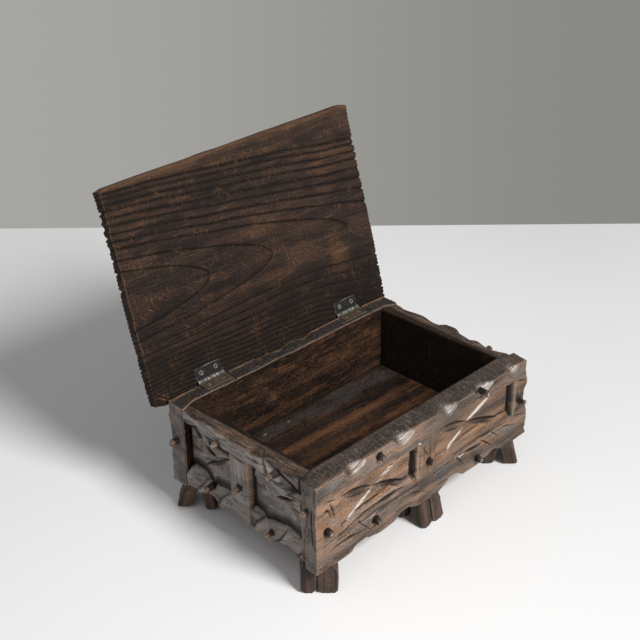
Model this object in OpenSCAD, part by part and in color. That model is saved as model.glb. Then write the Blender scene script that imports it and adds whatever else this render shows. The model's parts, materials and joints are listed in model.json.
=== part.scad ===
// Carved wooden box on six splayed feet, with a plank lid on two small butt hinges.
// The lid is drawn open, at the angle where its back margin comes up to the back board.
// Frame: +X to the right along the front, front face towards -Y, +Z up, floor at z = 0.
// The origin is on the floor, under the middle of the open box's bounding box.
// Faces of a wall board are described in its own plane: u along the board, v up it, w into it.

/* [Box] */
// Length of the front and back boards, mm
box_width = 300; // [240:1:340]
// Depth over the front and back boards, mm
box_depth = 196; // [160:1:230]
// Height of the front and back boards, mm
wall_height = 89; // [70:1:110]
// Height of the feet below the boards, mm
foot_height = 28; // [18:1:40]
// Thickness of the front board, mm
front_board = 25; // [18:0.5:28]
// Thickness of the back board, mm
back_board = 17; // [14:0.5:24]
// Thickness of the carved side boards, mm
side_board = 13; // [11:0.5:18]
// Thickness of the plain boards that line the sides, mm
side_liner = 8; // [5:0.5:12]
// How far the sides' tops are below the front's and the back's, mm
side_drop = 2; // [0:0.5:4]

/* [Floor] */
// Thickness of the floor boards, whose undersides are level with the wall boards', mm
floor_board = 17; // [8:0.5:20]
// Depth of the front floor board, mm
front_floor_depth = 65; // [50:1:80]

/* [Lid] */
// Thickness of the lid's plank, mm
lid_board = 11; // [8:0.5:16]
// Overhang of the closed lid in front of the box, mm
lid_front_margin = 9; // [0:0.5:15]
// Overhang of the closed lid at each end, mm
lid_side_margin = 9.5; // [0:0.5:15]
// Wood behind the hinges' axis, mm
lid_back_margin = 6; // [3:0.5:8]
// Angle of the open lid from its closed position, degrees
open_angle = 107; // [95:0.5:110]
// Gap between the closed lid and the rim, mm
lid_gap = 0.3; // [0.2:0.05:1]
// Radius of the lid's corners, mm
lid_corner = 3; // [1:0.5:8]

/* [Hinges] */
// Length of a hinge along its pin, mm
hinge_length = 32; // [25:1:40]
// Distance of the hinges' middles from the ends of the box, mm
hinge_inset = 55; // [40:1:75]
// Radius of the knuckles, mm
knuckle_r = 2.4; // [2:0.1:3]
// Radius of the pin, mm
pin_r = 1.2; // [0.8:0.05:1.5]
// Radial clearance of the lid's knuckle on the pin, mm
pin_clearance = 0.05; // [0.01:0.01:0.1]
// Gap between knuckles along the pin, mm
knuckle_gap = 0.3; // [0.2:0.05:0.5]
// Radial gap between the knuckles and what turns past them, mm
knuckle_relief = 0.35; // [0.3:0.05:0.8]
// Thickness of the leaves, mm
leaf_thickness = 1; // [0.8:0.1:1.5]
// Reach of the leaf on the back board from the pin, mm
body_leaf = 15; // [10:0.5:18]
// Reach of the leaf on the lid from the pin, mm
lid_leaf = 14; // [10:0.5:18]
// Distance of the pin behind the back board, mm
pin_setback = 1.9; // [1.8:0.1:3]
// Radius of a screw's head, mm
screw_head_r = 1.9; // [1.5:0.1:2.4]
// Radius of a screw's shank, mm
screw_shank_r = 0.9; // [0.6:0.1:1.2]
// Length of a screw, mm
screw_length = 8; // [6:0.5:9]
// Spacing of the two screws of a leaf, mm
screw_spacing = 18; // [14:1:22]

/* [Carving] */
// Height of the rail under the sunk panels, mm
low_rail = 21; // [16:1:28]
// Height of the rail over the sunk panels, mm
top_rail = 19; // [14:1:24]
// Width of the front's and back's upright borders, mm
end_stile = 27; // [20:1:35]
// Width of the upright between the panels, mm
centre_stile = 24; // [16:1:32]
// Width of the sides' upright borders, mm
side_stile = 4; // [2:0.5:8]
// Rise of the sloped ledge under a panel, mm
ledge_rise = 7; // [2:0.5:12]
// Depth of the front's panels at their deep end, mm
front_relief = 10; // [6:0.5:14]
// Depth of the sides' panels at their deep end, mm
side_relief = 9; // [5:0.5:11]
// Depth of the back's panels at their deep end, mm
back_relief = 7; // [4:0.5:9]
// Depth of a panel at its shallow end, mm
shallow_relief = 3; // [1:0.5:5]
// Depth of the crossed gouge cuts below a panel's floor, mm
gouge_depth = 2.2; // [1:0.1:3.5]
// Slope of a gouge cut's sides from its middle plane, degrees
gouge_slope = 58; // [40:1:70]
// Radius of the gouge that takes the bites from the rim's outer edge, mm
bite_r = 17; // [10:1:30]
// Depth of those bites, mm
bite_depth = 5.5; // [2:0.5:9]

/* [Pegs] */
// Width of a square peg, mm
peg_width = 6.5; // [4:0.5:9]
// How far a peg stands out of its board, mm
peg_stand = 8.5; // [3:0.5:11]
// Depth of a peg in its board, mm
peg_depth = 8; // [4:0.5:10]

/* [Feet] */
// Width of a slat, along the outer face of its foot, mm
slat_width = 11; // [8:0.5:13]
// Thickness of a slat, mm
slat_depth = 11; // [8:0.5:13]
// Gap between the slats of a foot where they meet the box, mm
slat_gap = 3; // [1:0.5:4]
// Distance from a foot's top to the outer faces of the boards, mm
foot_inset = 0.4; // [0.2:0.1:4]
// Lean of the outer slats from upright, degrees
outer_lean = 14; // [0:1:20]
// Lean of the inner slats from upright, degrees
inner_lean = 9; // [0:1:14]
// Size of the cut corners at a slat's foot, mm
slat_chamfer = 3; // [1:0.5:4]

/* [View] */
// Node to draw

/* [Hidden] */
FEET = ["front_left", "front_middle", "front_right", "back_left", "back_middle", "back_right"];
SLATS = ["outer_left", "outer_right", "inner_left", "inner_right"];
$fn = 48;
eps = 0.01;
far = 400;
side_length = box_depth - front_board - back_board;
side_height = wall_height - side_drop;
rim_z = foot_height + wall_height;
axis_y = box_depth + pin_setback;
lean = open_angle - 90;
lid_reach = axis_y + lid_front_margin;
lid_width = box_width + 2 * lid_side_margin;
back_reach = axis_y + lid_reach * sin(lean) + (lid_board + lid_gap) * cos(lean);
front_shift = -(back_reach - peg_stand) / 2;
inner_width = box_width - 2 * (side_board + side_liner);
hinge_offset = box_width / 2 - hinge_inset;
knuckle_middle = hinge_length / 3;
knuckle_outer = knuckle_middle - knuckle_gap;
knuckle_offset = (hinge_length - knuckle_outer) / 2;
clear_r = knuckle_r + knuckle_relief;
body_screw_y = -body_leaf / 2 - 1.5;
lid_screw_y = lid_leaf / 2 + 1.5;

wood = [0.36, 0.25, 0.18];
wood_light = [0.47, 0.35, 0.26];
wood_dark = [0.25, 0.17, 0.13];
iron = [0.3, 0.3, 0.3];

// Size of a foot's bundle of four slats, and where its middle comes at a corner and at a board's middle.
bundle_width = 2 * slat_width + slat_gap;
bundle_depth = 2 * slat_depth + slat_gap;
corner_inset = foot_inset + (bundle_width + bundle_depth) / 2 * sqrt(0.5);
middle_inset = foot_inset + bundle_depth / 2;

// Bays between the feet along each board, and the arches in them: middle and width as shares of
// the bay, and height in mm.
corner_zone = 2 * corner_inset;
middle_zone = box_width / 2 - bundle_width / 2;
front_arches = concat(
  in_bay(corner_zone, middle_zone, [[0.24, 0.37, 5], [0.76, 0.24, 5]]),
  in_bay(box_width - middle_zone, box_width - corner_zone, [[0.25, 0.36, 8], [0.84, 0.25, 6]]));
side_arches = in_bay(corner_zone - back_board, side_length - corner_zone + front_board,
  [[0.15, 0.2, 6.5], [0.47, 0.28, 5.5], [0.9, 0.18, 7]]);

// Middles of the bites in the rim's outer edge. The back board's are between the hinges.
hinge_zone = hinge_inset + hinge_length / 2 + bite_r;
front_bites = [0.16, 0.37, 0.57, 0.75, 0.92] * box_width;
back_bites = [for (share = [0, 0.5, 1]) hinge_zone + share * (box_width - 2 * hinge_zone)];
side_bites = [0.12, 0.35, 0.6, 0.83] * side_length;

// Sunk panels: both ends along the board.
panel_low = low_rail;
panel_high = wall_height - top_rail;
function two_panels(length, stile, middle) =
  [[stile, middle - centre_stile / 2], [middle + centre_stile / 2, length - stile]];
front_panels = two_panels(box_width, end_stile, box_width / 2 - 5.5);
side_panels = two_panels(side_length, side_stile, side_length / 2 + 2);

// Gouge cuts in each panel: middle of the cut from the panel's middle, u and v, length, and angle.
front_gouges = [[[-2, 5, 84, -18], [-5, 3, 70, 22], [-4, -14, 90, 2]],
  [[-10, 8, 88, -17], [-5, 9, 68, 22], [-2, -13, 108, 3]]];
side_gouges = [[[6, 5, 48, 35], [0, 9, 40, -28]], [[-2, 6, 44, -32], [4, 8, 48, 26]]];

// Pegs: u and v as shares of the board's length and height, and turn in degrees.
front_peg_places = [[0.045, 0.42, 20], [0.26, 0.93, 35], [0.25, 0.18, 10], [0.49, 0.48, 25],
  [0.75, 0.93, 40], [0.74, 0.09, 15], [0.96, 0.5, 30]];
back_peg_places = [[0.045, 0.42, 20], [0.26, 0.76, 35], [0.25, 0.18, 10], [0.49, 0.48, 25],
  [0.75, 0.76, 40], [0.74, 0.12, 15], [0.96, 0.27, 30]];
side_peg_places = [[0.25, 0.2, 15], [0.35, 0.86, 30], [0.53, 0.46, 20], [0.79, 0.13, 35], [0.82, 0.88, 25]];
end_peg_heights = [0.53, 0.66];

function in_bay(from, to, arches) =
  [for (a = arches) [from + a[0] * (to - from), a[1] * (to - from), a[2]]];
function placed_pegs(places, length, height) = [for (p = places) [p[0] * length, p[1] * height, p[2]]];
front_pegs_at = placed_pegs(front_peg_places, box_width, wall_height);
back_pegs_at = placed_pegs(back_peg_places, box_width, wall_height);
side_pegs_at = placed_pegs(side_peg_places, side_length, side_height);
end_pegs_at = [[-back_board / 2, end_peg_heights[0] * wall_height, 20],
  [side_length + front_board / 2, end_peg_heights[1] * wall_height, 35]];

// Puts one of the box's own shapes, drawn from the front face's plane, in the shared frame.
module placed() { translate([0, front_shift, 0]) children(); }

// Frames in which a wall's outer face is w = 0, its lower edge v = 0 and its start u = 0.
module on_front() { placed() translate([-box_width / 2, 0, foot_height]) children(); }
module on_back() {
  placed() translate([box_width / 2, box_depth, foot_height]) rotate([0, 0, 180]) children();
}
module on_left() {
  placed() translate([-box_width / 2, box_depth - back_board, foot_height]) rotate([0, 0, -90]) children();
}
module on_right() {
  placed() translate([box_width / 2, front_board, foot_height]) rotate([0, 0, 90]) children();
}

// The frame of the closed lid: x along the pin, y from the pin to the lid's front edge, z up from the pin.
module on_lid() {
  placed() translate([0, axis_y, rim_z]) rotate([-open_angle, 0, 0]) mirror([0, 1, 0]) children();
}

function arc_radius(chord, rise) = (chord * chord / 4 + rise * rise) / (2 * rise);

// A cylinder through the board whose top is an arch in the lower edge.
module arch(at, thickness) {
  r = arc_radius(at[1], at[2]);
  translate([at[0], -eps, at[2] - r]) rotate([-90, 0, 0]) cylinder(r = r, h = thickness + 2 * eps, $fn = 96);
}

// One slanting gouge stroke over the rim's outer edge.
module bite(u, height) {
  translate([u, 0, height]) rotate([-45, 0, 0]) translate([0, bite_depth - bite_r, 0]) rotate([0, 8, 0])
    translate([0, 0, -25]) cylinder(r = bite_r, h = 50);
}

// A sunk panel that deepens along the board, with a sloped ledge at its foot.
module sunk_panel(ends, relief) {
  intersection() {
    linear_extrude(wall_height)
      polygon([[ends[0], -1], [ends[1], -1], [ends[1], relief], [ends[0], shallow_relief]]);
    translate([ends[0], 0, 0]) rotate([90, 0, 90]) linear_extrude(ends[1] - ends[0])
      polygon([[-1, panel_low], [relief, panel_low + ledge_rise],
        [relief, panel_high - 2], [-1, panel_high]]);
  }
}

// The depth of a panel's floor at u.
function floor_at(ends, relief, u) =
  shallow_relief + (relief - shallow_relief) * (u - ends[0]) / (ends[1] - ends[0]);

// A long lens-shaped cut left by a V gouge swung on a large radius.
module gouge(u, v, length, angle, floor_w) {
  r = arc_radius(length, gouge_depth);
  rise = gouge_depth + 1.5;
  translate([u, floor_w + gouge_depth - r, v]) rotate([0, -angle, 0])
    for (side = [0, 1]) mirror([0, 0, side])
      cylinder(r1 = r, r2 = r - rise, h = rise * tan(gouge_slope), $fn = 180);
}

module carved_board(length, thickness, height, arches, bites, panels, gouges, pegs, relief) {
  difference() {
    cube([length, thickness, height]);
    for (at = arches) arch(at, thickness);
    for (u = bites) bite(u, height);
    for (i = [0:len(panels) - 1]) {
      sunk_panel(panels[i], relief);
      middle = (panels[i][0] + panels[i][1]) / 2;
      intersection() {
        translate([panels[i][0] + 2, 0, panel_low + 3])
          cube([panels[i][1] - panels[i][0] - 4, thickness, panel_high - panel_low - 7]);
        union() for (cut = gouges[i])
          gouge(middle + cut[0], (panel_low + panel_high) / 2 + cut[1], cut[2], cut[3],
            floor_at(panels[i], relief, middle + cut[0]));
      }
    }
    for (at = pegs) peg_stock(at, peg_depth, 0);
  }
}

// A square peg between two depths, w, from the board's outer face.
module peg_stock(at, inner, outer) {
  translate([at[0], -outer, at[1]]) rotate([0, at[2], 0])
    translate([-peg_width / 2, 0, -peg_width / 2]) cube([peg_width, inner + outer, peg_width]);
}

// A peg: its buried end fills the board's hole, and its standing end is cut to a blunt pyramid.
module peg(at) {
  difference() {
    peg_stock(at, peg_depth, peg_stand);
    translate([at[0], -peg_stand, at[1]]) rotate([0, at[2], 0]) for (k = [0:3]) rotate([0, 90 * k, 0])
      translate([-peg_width, 0, peg_width / 2 - 1.2]) rotate([-40, 0, 0])
        translate([0, -8, 0]) cube([2 * peg_width, 8, 8]);
  }
}

module hinge_cylinder(at, r, length) {
  translate([at - length / 2, 0, 0]) rotate([0, 90, 0]) cylinder(r = r, h = length);
}

// Room around a hinge's knuckles.
module knuckle_space(at) { hinge_cylinder(at, clear_r, hinge_length + 2 * knuckle_gap); }

// A countersunk screw with its head's flat top at z = 0.
module screw() {
  translate([0, 0, -leaf_thickness]) cylinder(r1 = screw_shank_r, r2 = screw_head_r, h = leaf_thickness);
  translate([0, 0, -screw_length]) cylinder(r = screw_shank_r, h = screw_length - leaf_thickness + eps);
}

// The two screws of each leaf, for a hinge whose middle is at x = at.
module body_screws(at) {
  for (x = [-1, 1] * screw_spacing / 2) translate([at + x, body_screw_y, 0]) screw();
}
module lid_screws(at) {
  for (x = [-1, 1] * screw_spacing / 2) translate([at + x, lid_screw_y, lid_gap]) mirror([0, 0, 1]) screw();
}

// The frame of the hinges on the box: x along the pin, -y towards the front.
module on_pin() { placed() translate([0, axis_y, rim_z]) children(); }

module body_leaf_shape(at) {
  difference() {
    union() {
      translate([at - hinge_length / 2, -body_leaf, -leaf_thickness])
        cube([hinge_length, body_leaf, leaf_thickness]);
      for (side = [-1, 1]) hinge_cylinder(at + side * knuckle_offset, knuckle_r, knuckle_outer);
    }
    hinge_cylinder(at, clear_r, knuckle_middle + knuckle_gap);
    hinge_cylinder(at, pin_r, hinge_length + 2);
    body_screws(at);
  }
}

module lid_leaf_shape(at) {
  difference() {
    union() {
      difference() {
        translate([at - hinge_length / 2, 0, lid_gap]) cube([hinge_length, lid_leaf, leaf_thickness]);
        for (side = [-1, 1])
          hinge_cylinder(at + side * knuckle_offset, clear_r, knuckle_outer + knuckle_gap);
      }
      hinge_cylinder(at, knuckle_r, knuckle_middle - knuckle_gap);
    }
    hinge_cylinder(at, pin_r + pin_clearance, hinge_length + 2);
    lid_screws(at);
  }
}

// The buried parts of both sides' end pegs, where the front and back boards have holes for them.
module end_peg_holes() {
  for (at = end_pegs_at) {
    on_left() peg_stock(at, peg_depth, 0);
    on_right() mirror_along() peg_stock(at, peg_depth, 0);
  }
}

module front_board() {
  color(wood_light) difference() {
    on_front() carved_board(box_width, front_board, wall_height, front_arches, front_bites,
      front_panels, front_gouges, front_pegs_at, front_relief);
    end_peg_holes();
  }
}

module back_board() {
  color(wood) difference() {
    on_back() carved_board(box_width, back_board, wall_height, front_arches, back_bites,
      front_panels, front_gouges, back_pegs_at, back_relief);
    for (at = [-1, 1] * hinge_offset) on_pin() {
      knuckle_space(at);
      translate([at - hinge_length / 2, -body_leaf, -leaf_thickness])
        cube([hinge_length, body_leaf + 1, leaf_thickness + 1]);
      body_screws(at);
    }
    end_peg_holes();
  }
}

module side() {
  carved_board(side_length, side_board, side_height, side_arches, side_bites,
    side_panels, side_gouges, side_pegs_at, side_relief);
}

module left_board() { color(wood) on_left() side(); }
module right_board() { color(wood) on_right() mirror_along() side(); }

// Turns a side's frame end for end, so that both sides run from the back board to the front board.
module mirror_along() { translate([side_length, 0, 0]) mirror([1, 0, 0]) children(); }

module liner() {
  difference() {
    translate([0, side_board, 0]) cube([side_length, side_liner, side_height]);
    for (at = side_arches) arch(at, side_board + side_liner);
  }
}
module left_liner() { color(wood_dark) on_left() liner(); }
module right_liner() { color(wood_dark) on_right() mirror_along() liner(); }

module floor_strip(from_y, to_y) {
  placed() translate([-inner_width / 2, from_y, foot_height]) cube([inner_width, to_y - from_y, floor_board]);
}
split_y = front_board + front_floor_depth;
module front_floor_board() { color(wood_dark) floor_strip(front_board, split_y); }
module back_floor_board() { color(wood) floor_strip(split_y, box_depth - back_board); }

// The plank, with mortises for the leaves and hollows for the knuckles.
module lid_plank() {
  color(wood_dark) on_lid() difference() {
    translate([-lid_width / 2, -lid_back_margin, lid_gap]) linear_extrude(lid_board)
      translate([lid_corner, lid_corner]) round_rectangle(lid_width, lid_reach + lid_back_margin);
    for (at = [-1, 1] * hinge_offset) {
      knuckle_space(at);
      translate([at - hinge_length / 2, 0, -1]) cube([hinge_length, lid_leaf, lid_gap + leaf_thickness + 1]);
      lid_screws(at);
    }
  }
}

// A rectangle with round corners, made of circles and rectangles.
module round_rectangle(width, height) {
  w = width - 2 * lid_corner;
  h = height - 2 * lid_corner;
  for (x = [0, w], y = [0, h]) translate([x, y]) circle(r = lid_corner);
  translate([-lid_corner, 0]) square([w + 2 * lid_corner, h]);
  translate([0, -lid_corner]) square([w, h + 2 * lid_corner]);
}

module left_hinge_body_leaf() { color(iron) on_pin() body_leaf_shape(-hinge_offset); }
module right_hinge_body_leaf() { color(iron) on_pin() body_leaf_shape(hinge_offset); }
module left_hinge_lid_leaf() { color(iron) on_lid() lid_leaf_shape(-hinge_offset); }
module right_hinge_lid_leaf() { color(iron) on_lid() lid_leaf_shape(hinge_offset); }
module left_hinge_pin() { color(iron) on_pin() hinge_cylinder(-hinge_offset, pin_r, hinge_length); }
module right_hinge_pin() { color(iron) on_pin() hinge_cylinder(hinge_offset, pin_r, hinge_length); }

module body_hinge_screws() { color(iron) on_pin() for (side = [-1, 1]) body_screws(side * hinge_offset); }
module lid_hinge_screws() { color(iron) on_lid() for (side = [-1, 1]) lid_screws(side * hinge_offset); }

module front_pegs() { color(wood_dark) on_front() for (at = front_pegs_at) peg(at); }
module back_pegs() { color(wood_dark) on_back() for (at = back_pegs_at) peg(at); }
module left_pegs() { color(wood_dark) on_left() for (at = side_pegs_at) peg(at); }
module right_pegs() { color(wood_dark) on_right() mirror_along() for (at = side_pegs_at) peg(at); }
module left_end_pegs() { color(wood_dark) on_left() for (at = end_pegs_at) peg(at); }
module right_end_pegs() { color(wood_dark) on_right() mirror_along() for (at = end_pegs_at) peg(at); }

// A slat whose top is in the middle of z = 0: it leans along its own -y, and its lower corners are cut.
module slat(tilt) {
  reach = foot_height / cos(tilt);
  half = slat_width / 2;
  rotate([-tilt, 0, 0]) rotate([90, 0, 0]) translate([0, 0, -slat_depth / 2]) linear_extrude(slat_depth)
    polygon([[-half, foot_height], [-half, slat_chamfer - reach], [slat_chamfer - half, -reach],
      [slat_chamfer - half, -2 * reach], [half - slat_chamfer, -2 * reach], [half - slat_chamfer, -reach],
      [half, slat_chamfer - reach], [half, foot_height]]);
}

// Where a foot's middle comes under the box, and the turn that points its outer face outwards.
function foot_place(foot) =
  foot == 0 ? [corner_inset, corner_inset, -45] :
  foot == 1 ? [box_width / 2, middle_inset, 0] :
  foot == 2 ? [box_width - corner_inset, corner_inset, 45] :
  foot == 3 ? [corner_inset, box_depth - corner_inset, -135] :
  foot == 4 ? [box_width / 2, box_depth - middle_inset, 180] :
  [box_width - corner_inset, box_depth - corner_inset, 135];

// One of a foot's four slats, cut level with the floor and with the underside of the box.
module foot_slat(foot, k) {
  at = foot_place(foot);
  across = (k % 2 == 0 ? -1 : 1) * (slat_width + slat_gap) / 2;
  outwards = (k < 2 ? -1 : 1) * (slat_depth + slat_gap) / 2;
  color(wood) placed() intersection() {
    translate([at[0] - box_width / 2, at[1], foot_height]) rotate([0, 0, at[2]])
      translate([across, outwards, 0]) slat(k < 2 ? outer_lean : inner_lean);
    translate([-far, -far, 0]) cube([2 * far, 2 * far, foot_height]);
  }
}

front_board();
back_board();
left_board();
right_board();
left_liner();
right_liner();
front_floor_board();
back_floor_board();
lid_plank();
left_hinge_body_leaf();
left_hinge_lid_leaf();
left_hinge_pin();
right_hinge_body_leaf();
right_hinge_lid_leaf();
right_hinge_pin();
body_hinge_screws();
lid_hinge_screws();
front_pegs();
back_pegs();
left_pegs();
right_pegs();
left_end_pegs();
right_end_pegs();
for (foot = [0:len(FEET) - 1], k = [0:len(SLATS) - 1])
  foot_slat(foot, k);
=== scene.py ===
import functools
import json
import math

import bpy
import numpy as np
from mathutils import Matrix, Vector


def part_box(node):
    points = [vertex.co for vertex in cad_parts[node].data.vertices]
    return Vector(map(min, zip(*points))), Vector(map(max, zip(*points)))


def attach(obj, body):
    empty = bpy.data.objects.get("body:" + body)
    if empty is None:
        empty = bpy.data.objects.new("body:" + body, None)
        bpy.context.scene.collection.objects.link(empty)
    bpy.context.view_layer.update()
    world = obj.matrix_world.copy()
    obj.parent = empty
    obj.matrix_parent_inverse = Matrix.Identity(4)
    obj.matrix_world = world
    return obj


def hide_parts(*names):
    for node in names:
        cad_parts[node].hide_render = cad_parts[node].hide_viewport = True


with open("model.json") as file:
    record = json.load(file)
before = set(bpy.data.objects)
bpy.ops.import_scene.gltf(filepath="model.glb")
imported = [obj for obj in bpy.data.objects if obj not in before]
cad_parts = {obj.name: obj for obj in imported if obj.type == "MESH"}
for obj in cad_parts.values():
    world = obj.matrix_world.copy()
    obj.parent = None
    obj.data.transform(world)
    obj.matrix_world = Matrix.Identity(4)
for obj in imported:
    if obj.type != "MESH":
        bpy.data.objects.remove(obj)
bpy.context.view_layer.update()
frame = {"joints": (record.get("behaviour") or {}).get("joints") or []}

bl_info = {
    "name": "Carved Wooden Box",
    "version": (1, 0, 0),
    "blender": (4, 5, 0),
    "location": "3D View > Sidebar > Carved Box",
    "description": "A rustic carved box with a ridged plank lid, square pegs and six splayed feet",
    "category": "Add Mesh",
}

MM = 0.001
# Points that are this close to a face lie on it, in mm.
HAIR = 0.01
SLOTS = {"carved": "carved_wood", "inside": "plain_wood", "lid": "lid_wood", "feet": "foot_wood",
         "pegs": "peg_wood", "iron": "hinge_iron"}


# Small tools for shapes. Lengths are in mm until a mesh is made.

def unit(x):
    """x, but no less than 0 and no more than 1."""
    return np.clip(x, 0, 1)


def ease(low, high, x):
    """0 at low, 1 at high, and a smooth rise between them."""
    t = unit((x - low) / (high - low))
    return t * t * (3 - 2 * t)


def mound(middle, half, x):
    """1 in the middle, falling smoothly to 0 at half a width from it."""
    return (1 - unit(((x - middle) / half) ** 2)) ** 2


def between(low, high, x):
    """Whether x lies between low and high."""
    return (x > low) * (x < high)


def most(*values):
    """The largest of several values at each point."""
    return functools.reduce(np.maximum, values)


def place_value(i, j, seed):
    """A fixed number from -1 to 1 for each whole-number place."""
    mixed = ((i * 73856093) ^ (j * 19349663) ^ (seed * 83492791)) & 0xFFFFFFFF
    mixed = ((mixed ^ (mixed >> 13)) * 1274126177) & 0xFFFFFFFFFFFF
    return ((mixed >> 12) & 0xFFFFF) / 0x7FFFF - 1


def waves(x, y, seed, octaves=3):
    """Smooth random waves from about -1 to 1, one unit across. Each use has a seed of its own."""
    total, size = 0.0, 0.6
    for octave in range(octaves):
        i, j = np.floor(x).astype(np.int64), np.floor(y).astype(np.int64)
        s, t = ease(0, 1, x - i), ease(0, 1, y - j)
        low, high = (place_value(i, row, seed + octave) * (1 - s) + place_value(i + 1, row, seed + octave) * s
                     for row in (j, j + 1))
        total = total + size * (low * (1 - t) + high * t)
        x, y, size = x * 2.1, y * 2.1, size / 2
    return total


def outline(*points):
    """A soft line through points (along, value), as a function of the distance along."""
    places, values = (np.array(column, float) for column in zip(*points))

    def line(x):
        k = np.clip(np.searchsorted(places, x) - 1, 0, len(places) - 2)
        t = unit((x - places[k]) / (places[k + 1] - places[k]))
        t = 0.35 * t + 0.65 * ease(0, 1, t)
        return values[k] + (values[k + 1] - values[k]) * t
    return line


def lines(low, high, step, *extra):
    """Places from low to high about a step apart, with some extra ones."""
    even = np.linspace(low, high, max(2, round((high - low) / step) + 1))
    even = [x for x in even if all(abs(x - e) > 0.3 * step for e in extra) or x in (low, high)]
    return np.array(sorted(set(even) | {e for e in extra if low < e < high}))


def block(us, vs, ws):
    """The surface points (u, v, w) of a block and its quads, which face outwards where u, v, w are
    right-handed."""
    shape = (len(us), len(vs), len(ws))
    skin = np.zeros(shape, bool)
    skin[[0, -1]] = skin[:, [0, -1]] = skin[:, :, [0, -1]] = True
    index = np.full(shape, -1)
    index[skin] = np.arange(skin.sum())
    i, j, k = np.nonzero(skin)
    quads = []
    for side, outwards in ((index[0], False), (index[-1], True), (index[:, 0], True),
                           (index[:, -1], False), (index[:, :, 0], False), (index[:, :, -1], True)):
        ring = [side[:-1, :-1], side[1:, :-1], side[1:, 1:], side[:-1, 1:]]
        quads.append(np.stack([c.ravel() for c in (ring if outwards else ring[::-1])], 1))
    return np.stack([us[i], vs[j], ws[k]], 1).astype(float), np.concatenate(quads)


def turned(profile, segments=28):
    """A shape turned about the u axis, from its (u, radius) line. Points are (u, v, w)."""
    turn = np.linspace(0, 2 * math.pi, segments, endpoint=False)
    along, radius = (np.array(column, float)[:, None] for column in zip(*profile))
    points = np.stack([along + 0 * turn, radius * np.cos(turn), radius * np.sin(turn)], -1).reshape(-1, 3)
    ring = np.arange(len(profile))[:, None] * segments
    one, after = ring + np.arange(segments), ring + np.roll(np.arange(segments), -1)
    quads = np.stack([one[:-1], one[1:], after[1:], after[:-1]], -1).reshape(-1, 4)
    return points, quads[:, ::-1]


def placed(points, start, along, up, into):
    """Points (u, v, w) of a piece set in the room, and whether its faces turn inside out there."""
    axes = np.array([along, up, into], float)
    return np.array(start, float) + points @ axes, np.linalg.det(axes) < 0


def node_box(name):
    """A CAD node's lowest and highest corners, in mm."""
    low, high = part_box(name)
    return np.array(low) / MM, np.array(high) / MM


def proud(points, quads, rounds):
    """How far each point stands proud of its surroundings, in mm; in a hollow it is below 0."""
    one, other = quads.ravel(), np.roll(quads, -1, axis=1).ravel()
    ends, partners = np.concatenate([one, other]), np.concatenate([other, one])
    count = most(np.bincount(ends, minlength=len(points)), 1)
    soft = points
    for _ in range(rounds):
        near = [np.bincount(ends, soft[partners, k], len(points)) / count for k in range(3)]
        soft = (soft + np.stack(near, 1)) / 2
    a, b, c, d = (points[quads[:, k]] for k in range(4))
    face = np.cross(c - a, d - b)
    normal = np.stack([sum(np.bincount(quads[:, k], face[:, axis], len(points)) for k in range(4))
                       for axis in range(3)], 1)
    normal /= most(np.linalg.norm(normal, axis=1, keepdims=True), 1e-9)
    return ((points - soft) * normal).sum(1)


class Heap:
    """Blocks that make one piece, with the values that its finish reads at each point."""

    KEYS = ("pale", "fair", "warm", "dark", "grey", "hatch")

    def __init__(self, reach=12):
        self.points, self.quads, self.values, self.count, self.reach = [], [], [], 0, reach

    def add(self, where, quads, grain, **values):
        """Adds one block: its place in the room, its quads, its place in the grain and its finish values."""
        points, flipped = where
        size = len(points)
        self.points.append(points)
        self.quads.append((quads[:, ::-1] if flipped else quads) + self.count)
        self.values.append({"grain": grain} | {
            key: np.broadcast_to(values.get(key, 0.0), (size,)) for key in self.KEYS})
        self.count += size
        return self

    def piece(self, context, name, kind, node, body="case", inner=None):
        """Makes the mesh and hangs it on its body in place of its CAD node. Faces whose points are all in
        inner get the finish of the inside."""
        points, quads, slot = np.concatenate(self.points), np.concatenate(self.quads), SLOTS[kind]
        mesh = bpy.data.meshes.new(name)
        mesh.from_pydata((points * MM).tolist(), [], quads.tolist())
        mesh.shade_smooth()
        columns = {key: np.concatenate([v[key] for v in self.values]) for key in self.KEYS}
        # How proud each point stands: proud edges show rubbed wear, and hollows are darkened in the finishes
        # as painted shade. The measure over the wider reach marks broad hollows for more painted shade.
        columns |= {"worn": proud(points, quads, 6), "sunk": -proud(points, quads, self.reach)}
        for key, column in columns.items():
            mesh.attributes.new(key, "FLOAT", "POINT").data.foreach_set("value", column.astype(np.float32))
        grain = np.concatenate([v["grain"] for v in self.values]).astype(np.float32)
        mesh.attributes.new("grain", "FLOAT_VECTOR", "POINT").data.foreach_set("vector", grain.ravel())
        mesh.materials.append(finish(context, kind))
        if inner is not None:
            mesh.materials.append(finish(context, "inside"))
            mesh.polygons.foreach_set("material_index", inner[quads].all(1).astype(np.int32))
        made = bpy.data.objects.new(name, mesh)
        context.scene.collection.objects.link(made)
        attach(made, body)
        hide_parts(node)


# Distance between the teeth that a knife leaves in a cut's wall, in mm, and spread of the gouge's slopes.
TEETH, SLANT = 2.5, 0.15


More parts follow.
